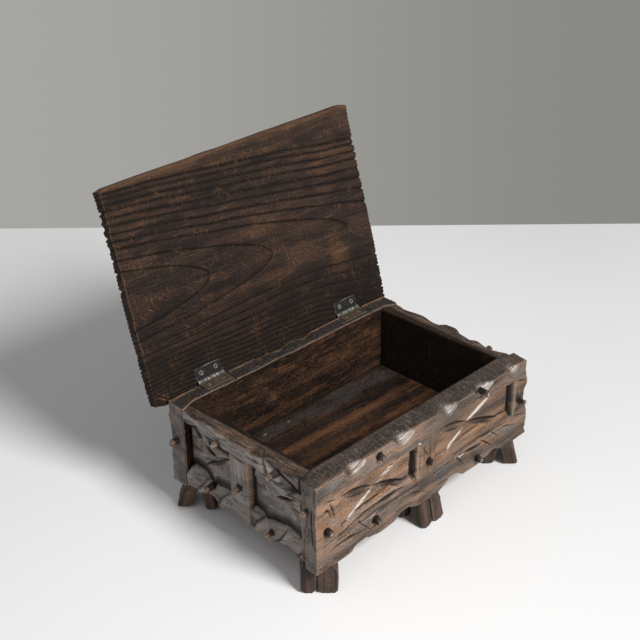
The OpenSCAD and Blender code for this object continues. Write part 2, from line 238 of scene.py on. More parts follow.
class Carving:
    """What is carved into a face: its depth and its change of colour at places (along, up)."""

    def __init__(self, along, up):
        self.x, self.z = along, up
        self.depth, self.pale, self.fair = (np.zeros_like(along) for _ in range(3))
        self.warm, self.dark, self.grey = (np.zeros_like(along) for _ in range(3))

    def tint(self, key, *amounts):
        """Strengthens one colour change."""
        for amount in amounts:
            setattr(self, key, most(getattr(self, key), amount))

    def cut(self, start, end, half, depth, lean=0.0, low=None, high=None, ribs=0.0, edge=0.0):
        """A lens-shaped cut with a V bottom that may lean. low and high tint its walls below and above
        the bottom line, ribs is the height of the teeth in the upper wall, painted dark in their hollows and
        pale on their ridges as painted shade and highlight, and edge darkens the rim as a painted shadow
        line."""
        run, rise = end[0] - start[0], end[1] - start[1]
        length = math.hypot(run, rise)
        x, z = self.x - start[0], self.z - start[1]
        t = unit((x * run + z * rise) / length ** 2)
        belly = np.sin(math.pi * t) ** 0.7
        reach = half * belly + 1e-6
        across = (z * run - x * rise) / length
        bottom = lean * reach
        fall = np.minimum((reach - across) / (reach - bottom), (across + reach) / (bottom + reach))
        fall = unit(fall) * (belly > 0.02)
        below, above = fall * (across < bottom), fall * (across >= bottom)
        teeth = np.sin(t * length * 2 * math.pi / TEETH) * belly * unit(above * 5)
        self.depth += depth * belly ** 0.6 * fall
        self.depth += ribs * teeth
        self.tint("pale", -1.7 * ribs * teeth)
        self.tint("dark", 1.6 * ribs * teeth, edge * belly * (fall > 0) * (1 - ease(0.15, 0.5, fall)))
        for wall, tints in ((below, low), (above, high)):
            for key, amount in (tints or {}).items():
                self.tint(key, amount * unit(wall * 4) * belly)

    def facets(self, seed, count, area, length, half, depth):
        """Shallow strokes of the gouge spread over an area (left, right, low, high)."""
        draw = np.random.default_rng(seed)
        for _ in range(count):
            x, z = draw.uniform(area[0], area[1]), draw.uniform(area[2], area[3])
            run, turn = draw.uniform(0.5, 1) * length / 2, draw.normal(0, SLANT)
            self.cut((x - run, z - run * turn), (x + run, z + run * turn), draw.uniform(0.5, 1) * half,
                     draw.uniform(0.4, 1) * depth, draw.uniform(-0.6, 0.6))

    def around_pegs(self, x, z, pegs, shade, reach, seed, sink=0.0):
        """A dark ring of painted shade around each peg, slightly sunk, where the face's bent places are (x,
        z).
        """
        for along, up, _ in pegs:
            away = np.hypot(x - along, z - up)
            self.tint("dark", shade * (1 - ease(3.2, reach, away + 0.8 * waves(x / 3, z / 3, seed))))
            self.depth += sink * (1 - ease(3.4, 5.0, away))


# The carved faces. Places are (along, up) from the board's own lower corner. Each face is the proudest of
# several layers, which overlap like leaves, with cuts over them.

def leaf(away, half, top, crown, wall=5.0):
    """Depth of a rounded leaf: top at its middle line, top + crown at its edge, and a steep wall outside."""
    far = np.abs(away)
    return top + crown * unit(far / half) ** 2.4 + wall * most(far - half, 0)


def rail(beyond, top, crown, wide=7.0, wall=5.0):
    """Depth of a rail up to a line. beyond is the distance past its edge, which is rounded over."""
    return top + crown * (1 - unit(-beyond / wide)) ** 2.2 + wall * most(beyond, 0)


# Pegs: place along and up the board, and turn in degrees, for each face.
FRONT_PEGS = ((13.5, 37.4, 20), (78, 82.8, 35), (75, 16, 10), (147, 42.7, 25), (225, 82.8, 40), (222, 8, 15),
              (288, 44.5, 30))
BACK_PEGS = ((13.5, 37.4, 20), (78, 67.6, 35), (75, 16, 10), (147, 42.7, 25), (225, 67.6, 40),
             (222, 10.7, 15), (288, 24, 30))
SIDE_PEGS = ((38.5, 17.4, 15), (53.9, 74.8, 30), (81.6, 40, 20), (121.7, 11.3, 35), (126.3, 76.6, 25))
END_PEGS = ((-8.5, 47.2, 20), (166.5, 58.7, 35))

# The front's lines: under the upper rail, over the lower one, and along the middle of the leaves.
LEFT_HEAD = outline((20, 68), (45, 70), (70, 70), (95, 68), (120, 66), (140, 66))
RIGHT_HEAD = outline((150, 72), (170, 74), (215, 74), (245, 71.5), (280, 71))
LEFT_LINE = outline((0, 23), (30, 20), (55, 23.2), (74, 22.4), (91, 22), (116, 21.5), (135, 21))
RIGHT_LINE = outline((150, 22), (185, 24.5), (203, 22.5), (230, 20.5), (254, 23.5), (300, 22))
LEAF_A = outline((28, 27), (40, 30), (67, 34), (86, 35.6), (101, 34.8), (125, 29.8), (135, 28))
LEAF_B = outline((28, 22), (55, 25.5), (74, 26), (92, 26.5), (110, 25.5), (135, 24.5))
LEAF_C = outline((150, 33), (165, 33.5), (190, 35), (220, 36.3), (253, 32), (280, 28))
LEAF_D = outline((150, 26), (180, 27), (210, 24.5), (230, 24.5), (254, 25.8), (280, 24))
# Tints of the cuts' walls: pale fresh wood with its painted glint, warm painted light on lower walls, and
# dark painted shade.
FRESH_AND_GLINT, GLOW, SHADE, BLACK = {"pale": 1.5}, {"warm": 1.0}, {"dark": 0.75}, {"dark": 1.0}

# The front's cuts: start, end, half width and depth. The broad arms of the crosses come first.
BROAD_ARMS = (((33, 61.4), (75.5, 51), 4.6, 3.4), ((74.5, 51.2), (119, 33.4), 3.2, 3.0),
              ((164, 66), (205.5, 56.4), 4.8, 3.4), ((204.5, 55.2), (257, 37), 3.5, 3.2))
# The thin arms, which show pale fresh wood and its painted glint: start, end, half width, ribs and the lower
# wall's tint.
THIN_ARMS = (((36, 31.2), (77.5, 50.6), 2.2, 0.35, FRESH_AND_GLINT), ((75, 50.4), (113, 62.6), 3.0, 0.7, {"pale": 0.7}),
             ((173, 38.0), (205.5, 52.6), 2.1, 0.35, FRESH_AND_GLINT), ((203, 55.3), (247, 69), 2.8, 0.45, FRESH_AND_GLINT))
# The eye between the leaves and the wedge below the right ledge, painted black as their shadow, and long
# strokes
# that part the leaves: start, end, half width, depth, lean and the tints of both walls.
PARTINGS = (((72, 30.2), (114, 30.0), 1.9, 2.6, 0.1, BLACK, BLACK),
            ((52, 22.6), (92, 21.6), 1.2, 1.2, 0.0, {"pale": 0.6}, SHADE),
            ((84, 26.6), (112, 20.6), 1.0, 1.0, 0.0, {"pale": 0.8}, SHADE),
            ((38, 36.5), (118, 37.5), 1.8, 1.4, 0.5, None, SHADE),
            ((60, 36), (112, 39.6), 1.2, 1.0, 0.3, GLOW, SHADE),
            ((196, 29.5), (270, 27.5), 1.5, 1.8, 0.2, SHADE, BLACK),
            ((170, 39.5), (264, 36.5), 1.1, 1.0, 0.3, GLOW, {"dark": 0.45}),
            ((176, 33), (250, 33.5), 1.4, 1.0, 0.3, GLOW, {"dark": 0.3}),
            ((198, 24.5), (234, 20.0), 2.4, 2.6, 0.2, BLACK, BLACK),
            ((182, 25), (206, 22.8), 1.4, 1.4, 0.0, {"pale": 0.8}, SHADE))
# Short cuts in the rails and upright grooves in the borders: start, end, half width and depth.
SHORT_CUTS = (((51, 28), (62, 15), 1.3, 1.6), ((60, 18), (70, 7), 1.1, 1.3),
              ((186, 28), (202, 11), 1.4, 1.8), ((227, 26), (244, 12.5), 1.5, 2.0),
              ((243, 13), (256, 19), 1.5, 1.8), ((239, 31.5), (255, 18), 1.3, 1.6),
              ((40, 24), (42, 8), 1.2, 1.0), ((133.8, 72), (134.3, 24), 1.3, 1.4),
              ((148, 63), (149, 41), 1.2, 1.5), ((155.5, 65), (155, 40), 1.2, 1.3),
              ((137, 64), (147, 46), 1.4, 1.3), ((10, 68.5), (25, 65), 1.5, 2.0),
              ((17, 66), (24, 45), 2.2, 2.0), ((9, 60), (17, 56), 1.6, 1.6), ((12, 62), (20, 48), 3.4, 1.8),
              ((280, 70), (297, 64), 1.8, 1.8), ((285, 30), (283, 62), 1.5, 1.2),
              ((120, 20), (150, 6), 1.8, 1.2), ((4, 22), (45, 24.5), 1.4, 1.6),
              ((20, 14), (60, 12), 1.8, 1.2), ((128, 17), (180, 12), 1.6, 1.2),
              ((262, 24), (284, 18), 1.6, 1.4), ((276, 30), (299, 24), 1.8, 1.6))


def front_carving(x, z, seed=0):
    """The front: two sunk panels with crossed cuts, over ledges like long leaves."""
    face = Carving(x, z)
    x = x + 0.8 * waves(z / 9, x / 50, 3, 2)
    z = z + 0.6 * waves(x / 16, z / 30, 5, 2)
    in_left = x < 145
    share = np.where(in_left, unit((x - 33) / 98), unit((x - 160) / 114))
    floor = 3.2 + 3.6 * share
    head = np.where(in_left, LEFT_HEAD(x), RIGHT_HEAD(x))
    line = np.where(in_left, LEFT_LINE(x), RIGHT_LINE(x))
    layers = [floor + 0.5 * waves(x / 24, z / 6, 11 + seed),
              rail(head - z, 0.4, 1.0, 8, 0.5 + 4.5 * share ** 1.5), rail(z - line, 0.4, 1.0, 5, 2.2),
              rail(x - 30, 0.6, 0.8, 6, 0.45),
              leaf(x - 144.5, 12.5, 0.5, 0.6, 9.0) * in_left + rail(x - 156, 0.5, 1.0, 6, 0.5) * ~in_left,
              rail(277.5 - x, 0.5, 0.8, 6, 9.0),
              np.where(in_left, leaf(z - LEAF_A(x), 2.9, 0.30 * floor, 1.5, 2.6),
                       leaf(z - LEAF_C(x), 6.2, 0.22 * floor, 2.4, 3.0)),
              np.where(in_left, leaf(z - LEAF_B(x), 3.2, 0.12 * floor + 0.3, 1.2, 3.0),
                       leaf(z - LEAF_D(x), 2.6, 0.16 * floor + 0.3, 1.2, 3.0))]
    depth = np.minimum.reduce(layers)
    face.depth += depth + 0.35 * waves(x / 42, z / 7, 21 + seed) + 0.12 * waves(x / 9, z / 2.2, 31 + seed)
    ledge = np.minimum(layers[-1], layers[-2]) <= depth + 0.05
    inside = ease(22, 32, z) * (1 - ease(head - 3, head + 3, z))
    face.tint("warm", 0.85 * ledge * ease(-0.6, 0.5, waves(x / 30, z / 2.5, 63 + seed)),
              0.55 * ease(0.0, 0.6, waves(x / 34, z / 9, 61 + seed)),
              (0.42 * in_left + 0.3 + 0.5 * ease(0.1, 0.6, waves(x / 30, z / 4, 85 + seed))) * inside)
    lowest = layers[-1] <= depth + 0.05
    face.tint("dark", 0.5 * lowest * ease(-0.3, 0.3, waves(x / 26, z / 3, 65 + seed)) * in_left,
              0.6 * mound(140.5, 1.6, x) * between(28, 62, z),
              0.34 * ease(128, 140, x) + 0.1 * ease(0, 0.6, waves(x / 18, z / 3, 83 + seed)))
    face.tint("fair", (0.12 + 0.4 * waves(x / 20, z / 5, 87 + seed)) * in_left * ease(14, 30, z))
    bloom = ease(-0.1, 0.5, waves((x - z) / 22, (z + 0.5 * x) / 9, 71 + seed))
    face.tint("grey", 0.6 * bloom * (1 - 0.7 * inside))
    face.facets(41 + seed, 26, (0, 300, -2, 20), 60, 5, 1.0)
    face.facets(42 + seed, 18, (0, 300, 74, 84), 60, 4.5, 0.9)
    # Both walls of the broad arms are painted darker and their rim darkest, as painted shade in the cut; thin
    # strokes along them paint dark shade lines over warm lit strips.
    for start, end, half, deep in BROAD_ARMS:
        below, above = {"warm": 0.55, "dark": 0.45}, {"warm": 0.5, "dark": 0.5}
        face.cut(start, end, half, deep, 0.3, below, above, edge=0.95)
        for lift in (-2.4, -0.9, 0.7, 1.9):
            higher = lift * half / 4
            thin_start, thin_end = (start[0] + 5, start[1] + higher), (end[0] - 7, end[1] + higher)
            face.cut(thin_start, thin_end, 0.55, 0.5, 0, GLOW, BLACK)
    for start, end, half, ribs, low in THIN_ARMS:
        face.cut(start, end, half, 2.2, 0.1, low, {"dark": 0.45, "warm": 0.5}, ribs)
    for stroke in PARTINGS:
        face.cut(*stroke)
    for stroke in SHORT_CUTS:
        face.cut(*stroke, 0.2, {"warm": 0.5}, {"dark": 0.6})
    face.cut((131, 69.5), (137, 67), 1.8, 1.8, 0, FRESH_AND_GLINT)
    face.cut((229, 22), (248, 17), 5.0, 0.9, 0, GLOW, {"warm": 0.6})
    # An upright slot at the right end of each panel, by its right edge, its top and its width. Its dark floor
    # and walls are painted shadow.
    for edge, top, wide in ((132, 64, 6.5), (277.5, 67, 5.5)):
        upright = ease(27, 31, z) * (1 - ease(top, top + 3, z))
        slot = ease(edge - wide, edge - wide + 1.2, x) * (1 - ease(edge - 0.2, edge + 0.6, x)) * upright
        face.depth += 2.6 * slot
        walls = mound(edge - wide + 1.6, 1.5, x) + mound(edge - 0.6, 1.4, x)
        face.tint("dark", 0.75 * slot, walls * upright)
        face.tint("warm", mound(edge - wide / 2 - 0.2, 1.6, x) * upright)
        face.tint("fair", 0.8 * mound(edge + 1.8, 1.3, x) * upright)
    face.around_pegs(x, z, FRONT_PEGS, 0.85, 5.0, 81, 0.8)
    return face


# The sides: the branch's lower line, and for each petal its edge, the depth of its top, how much deeper it
# gets, and between which places.
BRANCH = outline((-8, 70), (7.4, 72), (20, 74.7), (30, 71), (44, 71.5), (59.5, 68.2), (75, 69.5), (98, 68.5),
                 (111, 65.5), (122, 61), (136, 56), (160, 50))
PETALS = ((outline((-8, 20), (3, 21.8), (14.3, 27.4), (26.8, 27.3), (36.5, 20.9), (38.5, 8), (42, -12),
                   (170, -60)), 0.4, 2.6, 4, 37),
          (outline((30, -10), (34, 6), (36.5, 14.5), (44.8, 22), (67, 25.5), (78.7, 23.7), (94, 24),
                   (106, 22), (115, 16), (124, 2), (130, -12), (170, -60)), 0.8, 2.6, 60, 108),
          (outline((90, -30), (103, 8), (108, 17), (123, 21.8), (139.6, 26.3), (155.5, 24.5), (170, 23)),
           0.6, 2.8, 128, 156))
# Knobs in the panels: place along and up, half width, half height and the depth of the top.
KNOBS = ((18, 55, 4, 6, 5.8), (42, 60, 7, 3, 3.6), (118, 57, 8, 4, 1.2), (149, 44, 6, 4.5, 1.4))
# Dark tints for the sides' cuts and holes, as painted shade.
DIM, DARK = {"dark": 0.55}, {"dark": 0.95}
# The sides' cuts: start, end, half width, depth, lean, and the tints of the lower and the upper wall.
SIDE_CUTS = (((26, 34), (65, 60), 4.4, 3.4, 0.1, {"warm": 0.6, "dark": 0.7}, DARK),
             ((30, 38.5), (60, 59), 2.0, 0.0, 0.0, {"pale": 0.5}, {"pale": 0.5}),
             ((25, 55), (45, 50.5), 3.4, 3.4, 0.0, DARK, DARK), ((30, 64), (42, 57), 3.0, 2.5, 0, DARK, DARK),
             ((46, 46), (53, 41), 1.6, 1.4, 0.0, DIM, DIM), ((8, 66), (24, 60), 2.2, 2.4, 0.0, DARK, DIM),
             ((40, 66), (60, 60), 1.8, 2.0, 0.0, DIM, DIM),
             ((128, 53.5), (153, 63.5), 3.0, 3.4, 0.0, DARK, DIM),
             ((108, 60), (122, 51), 2.2, 2.6, 0.2, DARK, DIM),
             ((112, 62), (122, 57), 2.0, 1.2, 0.0, {"pale": 0.7}),
             ((118, 52), (158, 34), 1.8, 1.6, 0.0, DIM, {"dark": 0.3}),
             ((126, 61), (158, 51), 1.8, 1.6, 0.0, {"dark": 0.4}),
             ((146, 47), (156, 40), 2.2, 1.2, 0.0, {"pale": 0.7}, {"pale": 0.4}),
             ((104, 87), (128, 60), 2.6, 2.2, 0.3, DIM), ((4, 85), (62, 78), 2.6, 1.2, 0.3),
             ((52, 80), (108, 74), 3.4, 1.2, 0.3), ((118, 78), (158, 68), 3.0, 2.0, 0.3, None, DIM),
             ((70, 71), (92, 69.5), 1.6, 1.2, 0.0, DIM, DIM))


def side_carving(u, z, seed=0):
    """A side: drapery-like petals along the foot, a branch along the top, two sunk panels and a stile."""
    face = Carving(u, z)
    u = u + 0.8 * waves(z / 11, u / 50, 141, 2)
    first, branch = u < 80, BRANCH(u)
    share = np.where(first, unit((u - 3) / 64), unit((u - 93) / 60))
    floor = np.where(first, 9.6 - 4.4 * share, 9.0 - 3.2 * share) + 2.0 * (1 - ease(1, 6, u))
    log = unit(np.abs(z - branch - 8.5) / 9.5)
    stile = np.where(first, 0.4 + 1.6 * unit((80 - u) / 12) ** 2.2 + 1.2 * most(68 - u, 0),
                     0.4 + 1.4 * unit((u - 80) / 12) ** 3 + 8 * most(u - 92, 0))
    bough = 0.3 + 9.0 * (1 - np.sqrt(1 - 0.85 * log ** 2)) + 5 * most(branch - 1 - z, 0)
    layers = [floor, bough, stile]
    # Pleats run across the petals: fold goes from 0 to 1 over each of them.
    turn = (0.8 * u + 0.7 * (28 - z)) / 21 + 0.3 * waves(u / 25, z / 25, 145 + seed) + 0.35
    fold, low_down = turn - np.floor(turn), ease(32, 16, z)
    folds = 1.7 * ease(0, 0.8, fold) * (1 - ease(0.83, 1, fold)) * low_down
    crest = np.full_like(u, -30.0)
    for edge, top, more, left, right in PETALS:
        slope = more * np.clip(np.abs(u - left) / (right - left), 0, 1.2)
        layers.append(rail(z - edge(u), top + slope, 4.2, 8, 3.5) + folds)
        crest = most(crest, edge(u))
    petals = layers[-len(PETALS):]
    # The ridge that runs down across the panel near the front, and small knobs.
    along = (u - 106) * 0.905 - (z - 66) * 0.425
    across = (u - 106) * 0.425 + (z - 66) * 0.905
    layers.append(leaf(across, 6.5, 1.6 + 0.02 * along, 2.6, 3.0) + 30 * (along < -4))
    for knob_along, knob_up, wide, tall, top in KNOBS:
        far = np.hypot((u - knob_along) / wide, (z - knob_up) / tall)
        layers.append(top + 1.8 * far ** 2 + 14 * most(far - 1, 0))
    depth = np.minimum.reduce(layers)
    face.depth += depth + 0.3 * waves(u / 26, z / 10, 121 + seed) + 0.1 * waves(u / 8, z / 3, 131 + seed)
    on_floor, on_branch = (layer <= depth + 0.05 for layer in layers[:2])
    shown = sum(petal <= depth + 0.05 for petal in petals)
    pleated = shown * low_down
    middle, high_up, panel = between(20, 74, z), between(20, 69, z), between(24, 69, z)
    # Painted shade: the floor darkens above the petals, in the crease at their crests and under the branch;
    # the deep slots at the back end and beside the stile and the folds' creases are darkened too. The dark
    # back edge is the joint, and the rest are dark streaks in the wood.
    face.tint("dark", on_floor * (1 - ease(crest + 2, crest + 15, z)),
              on_floor * ease(branch - 11, branch - 3, z),
              (1 - ease(4.5, 8, u)) * middle * (1 - on_branch), 1 - ease(0.9, 2.4, u),
              0.85 * mound(94.5, 2.6, u) * high_up, on_floor * mound(0.5, 4.0, z - crest),
              0.8 * pleated * mound(0.87, 0.13, fold),
              0.65 * pleated * ease(-0.1, 0.5, waves(u / 16 + z / 9, z / 5, 169 + seed)),
              0.75 * on_branch * ease(0.1, 0.5, waves(u / 15 + z / 30, z / 2.6, 165 + seed)),
              0.55 * ease(0.15, 0.6, waves(u / 12 + z / 14, z / 2.4, 177 + seed)))
    face.tint("warm", mound(2.6, 3.0, u) * middle, mound(92.3, 2.0, u) * high_up,
              0.5 * mound(84, 4, u) * panel, 0.6 * mound(80, 13, u) * panel)
    # Painted highlights light the branch's top, the petals' crests and the folds' ridges; the rest is lighter
    # wood.
    face.tint("fair", 0.9 * on_branch * mound(branch + 9, 4.5, z) * (0.6 + 0.6 * waves(u / 10, z / 20, 175)),
              0.6 * on_branch * (z < branch + 16) + 0.75 * mound(79.5, 13, u) * panel * ~on_floor,
              0.25 * ease(crest - 0.5, crest - 3, z) * (0.6 + 0.4 * waves(u / 9, z / 14, 163)),
              0.75 * on_floor * ease(0.0, 0.5, waves((u + z) / 22, (z - 0.5 * u) / 5, 171 + seed)),
              shown * mound(2.2, 2.6, crest - z) * (0.7 + 0.5 * waves(u / 7, z / 20, 173)),
              0.9 * pleated * (mound(0.1, 0.2, fold) + mound(1.06, 0.08, fold)),
              on_branch * ease(0.0, 0.5, waves(u / 18 + z / 30, z / 3.2, 167 + seed)))
    # The whole side is lightened a little, as painted light.
    face.fair = face.fair + 0.16
    face.tint("grey", 0.6 + 0.4 * ease(-0.5, 0.5, waves(u / 34, z / 12, 161 + seed)))
    face.around_pegs(u, z, SIDE_PEGS, 0.8, 5.2, 181)
    for stroke in SIDE_CUTS:
        face.cut(*stroke)
    for at in (73, 78, 84, 88.5):
        face.cut((at, 68), (at + 1.2, 25), 1.5, 1.0, 0.1, {"grey": 0.4}, {"warm": 0.4})
    return face


# The boards. Their points are (u, v, w): along the board from outside, up, and into the wood.

# How far the lower edges rise, by the place along the board, and how the front board's ends wander with
# the height: the right end's inset, and the depth of the left end's split and lip.
FRONT_FOOT = outline((0, -2.8), (30, -3.3), (42.5, -2.8), (52, 1.5), (62, 2.6), (69, -0.6), (83, -2.2),
                     (100, -1.2), (111, 4.8), (119, 4.8), (132, -0.6), (162, -2.7), (172, 1.8),
                     (186, 6.2), (192, 5.1), (201, -0.4), (221, -0.4), (239, 1.8), (249, 5.1),
                     (265, -0.4), (285, -1), (302, -0.4))
SIDE_FOOT = outline((0, 3.2), (22, 2.5), (28, 4.8), (34, 7.1), (40.5, 7.1), (46, 4), (53, 1.7), (62, 1.7),
                    (71, 5.5), (79, 6.3), (88, 4), (94, 0.9), (104, -1.4), (116, -2.9), (122, 0.2),
                    (128, 4.8), (134, 7.1), (140.5, 7.5), (145, 4.8), (147, 0.2), (154, -0.6))
RIGHT_END = outline((-1, -2.8), (7, -0.5), (22, -2.5), (26, -1), (32, 0.6), (45, 6), (52, 6), (56, 5),
                    (60, 1.7), (65, 1.7), (72, 4), (80, 6), (90, 6))
END_SPLIT = outline((-5, 19), (0, 19.5), (19, 20), (35, 19), (50, 15), (60, 13), (73, 21), (95, 21.5))
END_LIP = outline((-5, 0), (24, 0), (28, 6.5), (45, 7.3), (61, 8), (66, 12), (95, 14))
# Chips in the rims: start, lowest place, end and drop.
FRONT_CHIPS = ((34, 44, 64, 8.5), (96, 106, 128, 8.5), (160, 171, 188, 8.5), (210, 221, 243, 8.0),
               (262, 269, 284, 7.0))
BACK_CHIPS = ((112, 122, 140, 2.2), (146, 156, 176, 2.2), (176, 184, 192, 1.8))
SIDE_CHIPS = ((6, 16, 34, 2.2), (44, 56, 74, 2.5), (86, 98, 116, 3.4), (120, 132, 150, 3.0))
# How far from a corner the seam between two boards wanders, in mm.
SEAM = 21.0
SIDES = ("left", "right")
# Each wall's corner to start from (its low or high x and y), its way along and its way into the wood.
WALLS = {"front_board": ("--", (1, 0, 0), (0, 1, 0)), "back_board": ("++", (-1, 0, 0), (0, -1, 0)),
         "left_board": ("-+", (0, -1, 0), (1, 0, 0)), "right_board": ("++", (0, -1, 0), (-1, 0, 0)),
         "left_liner": ("-+", (0, -1, 0), (1, 0, 0)), "right_liner": ("++", (0, -1, 0), (-1, 0, 0))}
# How strongly the front and the back board show fresh wood with its painted glint, warm, dark and grey wood
# in some places.
END_LOOKS = {"front_board": {"face_pale": 1, "chip_pale": 0.6, "chip_fair": 0.5, "rim_warm": 0.25,
                             "rim_dark": 0.8, "inner_dark": 0.8, "rim_grey": 0.2},
             "back_board": {"face_pale": 0.4, "chip_pale": 0.1, "chip_fair": 0.1, "rim_warm": 0.6,
                            "rim_dark": 1.05, "inner_dark": 0.62, "rim_grey": 0.0}}


def seam_shift(from_end):
    """How far the seam at a corner wanders, by the distance from the box's end."""
    return 5.0 * (1 - ease(0, SEAM, from_end))


def chips(u, w, places, reach):
    """Drop of the rim's outer edge in chips that reach into the rim, and where their wood is fresh and pale,
    brightest on each chip's right part as a painted highlight.
    """
    drop, fresh_and_glint = np.zeros_like(u), np.zeros_like(u)
    for start, lowest, end, deep in places:
        share = ease(start - 1, lowest, u) * (1 - ease(lowest + 0.3 * (end - lowest), end, u))
        slope = unit(1 - w / (reach * (0.2 + 0.8 * share)))
        ripple = waves((u - start) / 9, (w - 0.16 * u) / 1.8, 251)
        drop += deep * share ** 0.7 * slope ** 1.1 + 0.5 * ripple * share * unit(slope * 4)
        # Each chip is paler on its right part, as painted highlight.
        right = ease(lowest - 1, lowest + 5, u) * (1 - ease(end - 3, end - 0.5, u))
        fresh_and_glint = most(fresh_and_glint, (0.2 + 0.8 * right) * ease(0.15, 0.4, slope) * ease(0.04, 0.12, share))
    return drop, fresh_and_glint


class Wall:
    """A wall board's sizes, where it stands, and the seed of its random shapes."""

    def __init__(self, node, seed=0):
        low, high = node_box(node)
        start, self.along, self.into = WALLS[node]
        self.node, self.seed = node, seed
        corner = {"-": low, "+": high}
        self.start = [corner[start[0]][0], corner[start[1]][1], low[2]]
        self.length, self.height, self.thick = (abs(np.dot(high - low, way))
                                                for way in (self.along, (0, 0, 1), self.into))

    def block(self, across, up, through, notches=()):
        """The board's plain block, with mesh lines about these steps apart."""
        return block(lines(0, self.length, across, *notches), lines(0, self.height, up),
                     lines(0, self.thick, through))

    def at(self, u, v, w):
        """The board's points in the room, and whether the faces turn inside out."""
        return placed(np.stack([u, v, w], 1), self.start, self.along, (0, 0, 1), self.into)


def end_grain(v, w, seed):
    """Fine ridges of the growth rings on a sawn end."""
    ring = np.hypot(v - 30 - 25 * (seed % 3), w + 22)
    return 0.28 * np.sin(ring * 2.1 + waves(v / 9, w / 9, seed)) + 0.4 * waves(v / 7, w / 5, seed + 3)


def end_insets(wall, v, w, split, lip, lip_span):
    """How far the left and the right end of the front or the back board stand in."""
    if wall.node == "front_board":
        left_in = 0.8 + 0.6 * waves(v / 13, w / 30, 201) + 1.5 * ease(split - 0.5, split + 2, w)
        return (left_in + 1.8 * mound(split, 1.8, w) + 1.6 * mound(lip, 1.6, w) * lip_span,
                RIGHT_END(v) * (1 - 0.5 * w / wall.thick) + 0.4 * waves(v / 4, w / 9, 203))
    return (1.6 + 1.8 * waves(v / 12, w / 30, seed + wall.seed) for seed in (205, 207))


def carve_end_board(wall, chip_places, step, notches=(), sunk_leaf=None):
    """The front or the back board: its block is bent to the wandering outline, then carved."""
    points, quads = wall.block(step, step, 1.15, notches)
    u, v, w = points.T
    is_front, look = wall.node == "front_board", END_LOOKS[wall.node]
    low_share, top_share = unit(1 - v / 22), unit((v - 68) / (wall.height - 68))
    left, right = unit(1 - u / 16), unit(1 - (wall.length - u) / 16)
    split, lip, lip_span = END_SPLIT(v), END_LIP(v), ease(20, 28, v) * (1 - ease(60, 66, v))
    left_in, right_in = end_insets(wall, v, w, split, lip, lip_span)
    x = u + left * (left_in + end_grain(v, w, 211) * left ** 8)
    x = x - right * (right_in + end_grain(v, w, 212) * right ** 8)
    drop, fresh_and_glint = chips(u, w, chip_places, 10.0)
    rim_top = 0.7 + 0.6 * waves(u / 22, w / 9, 221 + wall.seed)
    rim_top += 0.25 * waves(u / 3.5, w / 2.5, 223 + wall.seed)
    rim_top += 1.2 * ease(wall.thick - 2.2, wall.thick, w) + (sunk_leaf(u, w) if sunk_leaf else 0)
    z = v + low_share * FRONT_FOOT(u) - top_share * (drop + most(rim_top, 0.05))
    face = front_carving(x, z, wall.seed)
    edge = np.minimum(seam_shift(u), 5) + np.minimum(seam_shift(wall.length - u), 5)
    through = w / wall.thick
    y = w + face.depth * (1 - through) + (0.25 * waves(u / 18, v / 3, 231) - 0.2) * through
    y = y - edge * through * (1 if is_front else -1)
    on_face, on_rim = ease(3, 0.8, w), (v >= wall.height - HAIR) * 1.0
    on_end = most(u < HAIR, u > wall.length - HAIR) * 1.0
    inner = (w > wall.thick - HAIR) * (1 - on_end)
    if is_front:
        crack = most(mound(split, 2.0, w), mound(lip, 1.8, w) * lip_span) * left ** 8
    else:
        crack = on_end * ease(wall.thick - 2.4, wall.thick - 1.0, w + 0.6 * waves(v / 9, w * 0, 245))
    worn_rim = on_rim * (1 - fresh_and_glint)
    rim_dark = worn_rim * ease(1.5, 4, w + 1.5 * waves(u / 5, w / 4, 241))
    rim_dark = rim_dark * (1 + 0.25 * waves(u / 22, w / 8, 247))
    return wall.at(x, z, y), quads, points, {
        "pale": most(face.pale * on_face * (1 - on_rim) * look["face_pale"],
                     look["chip_pale"] * fresh_and_glint ** 2 * top_share ** 3),
        "fair": most(face.fair * on_face, look["chip_fair"] * fresh_and_glint * top_share ** 3),
        "warm": most(face.warm * on_face * (1 - on_rim), look["rim_warm"] * on_rim),
        "dark": most(face.dark * on_face, look["rim_dark"] * rim_dark, 0.95 * crack,
                     look["inner_dark"] * inner),
        "grey": most(face.grey * on_face * (1 - on_rim), 0.95 * on_end * (1 - 0.7 * (w > split) * is_front),
                     look["rim_grey"] * on_rim),
        "hatch": worn_rim * ease(1.0, 3.0, w + waves(u / 5, w / 4, 243)),
    }


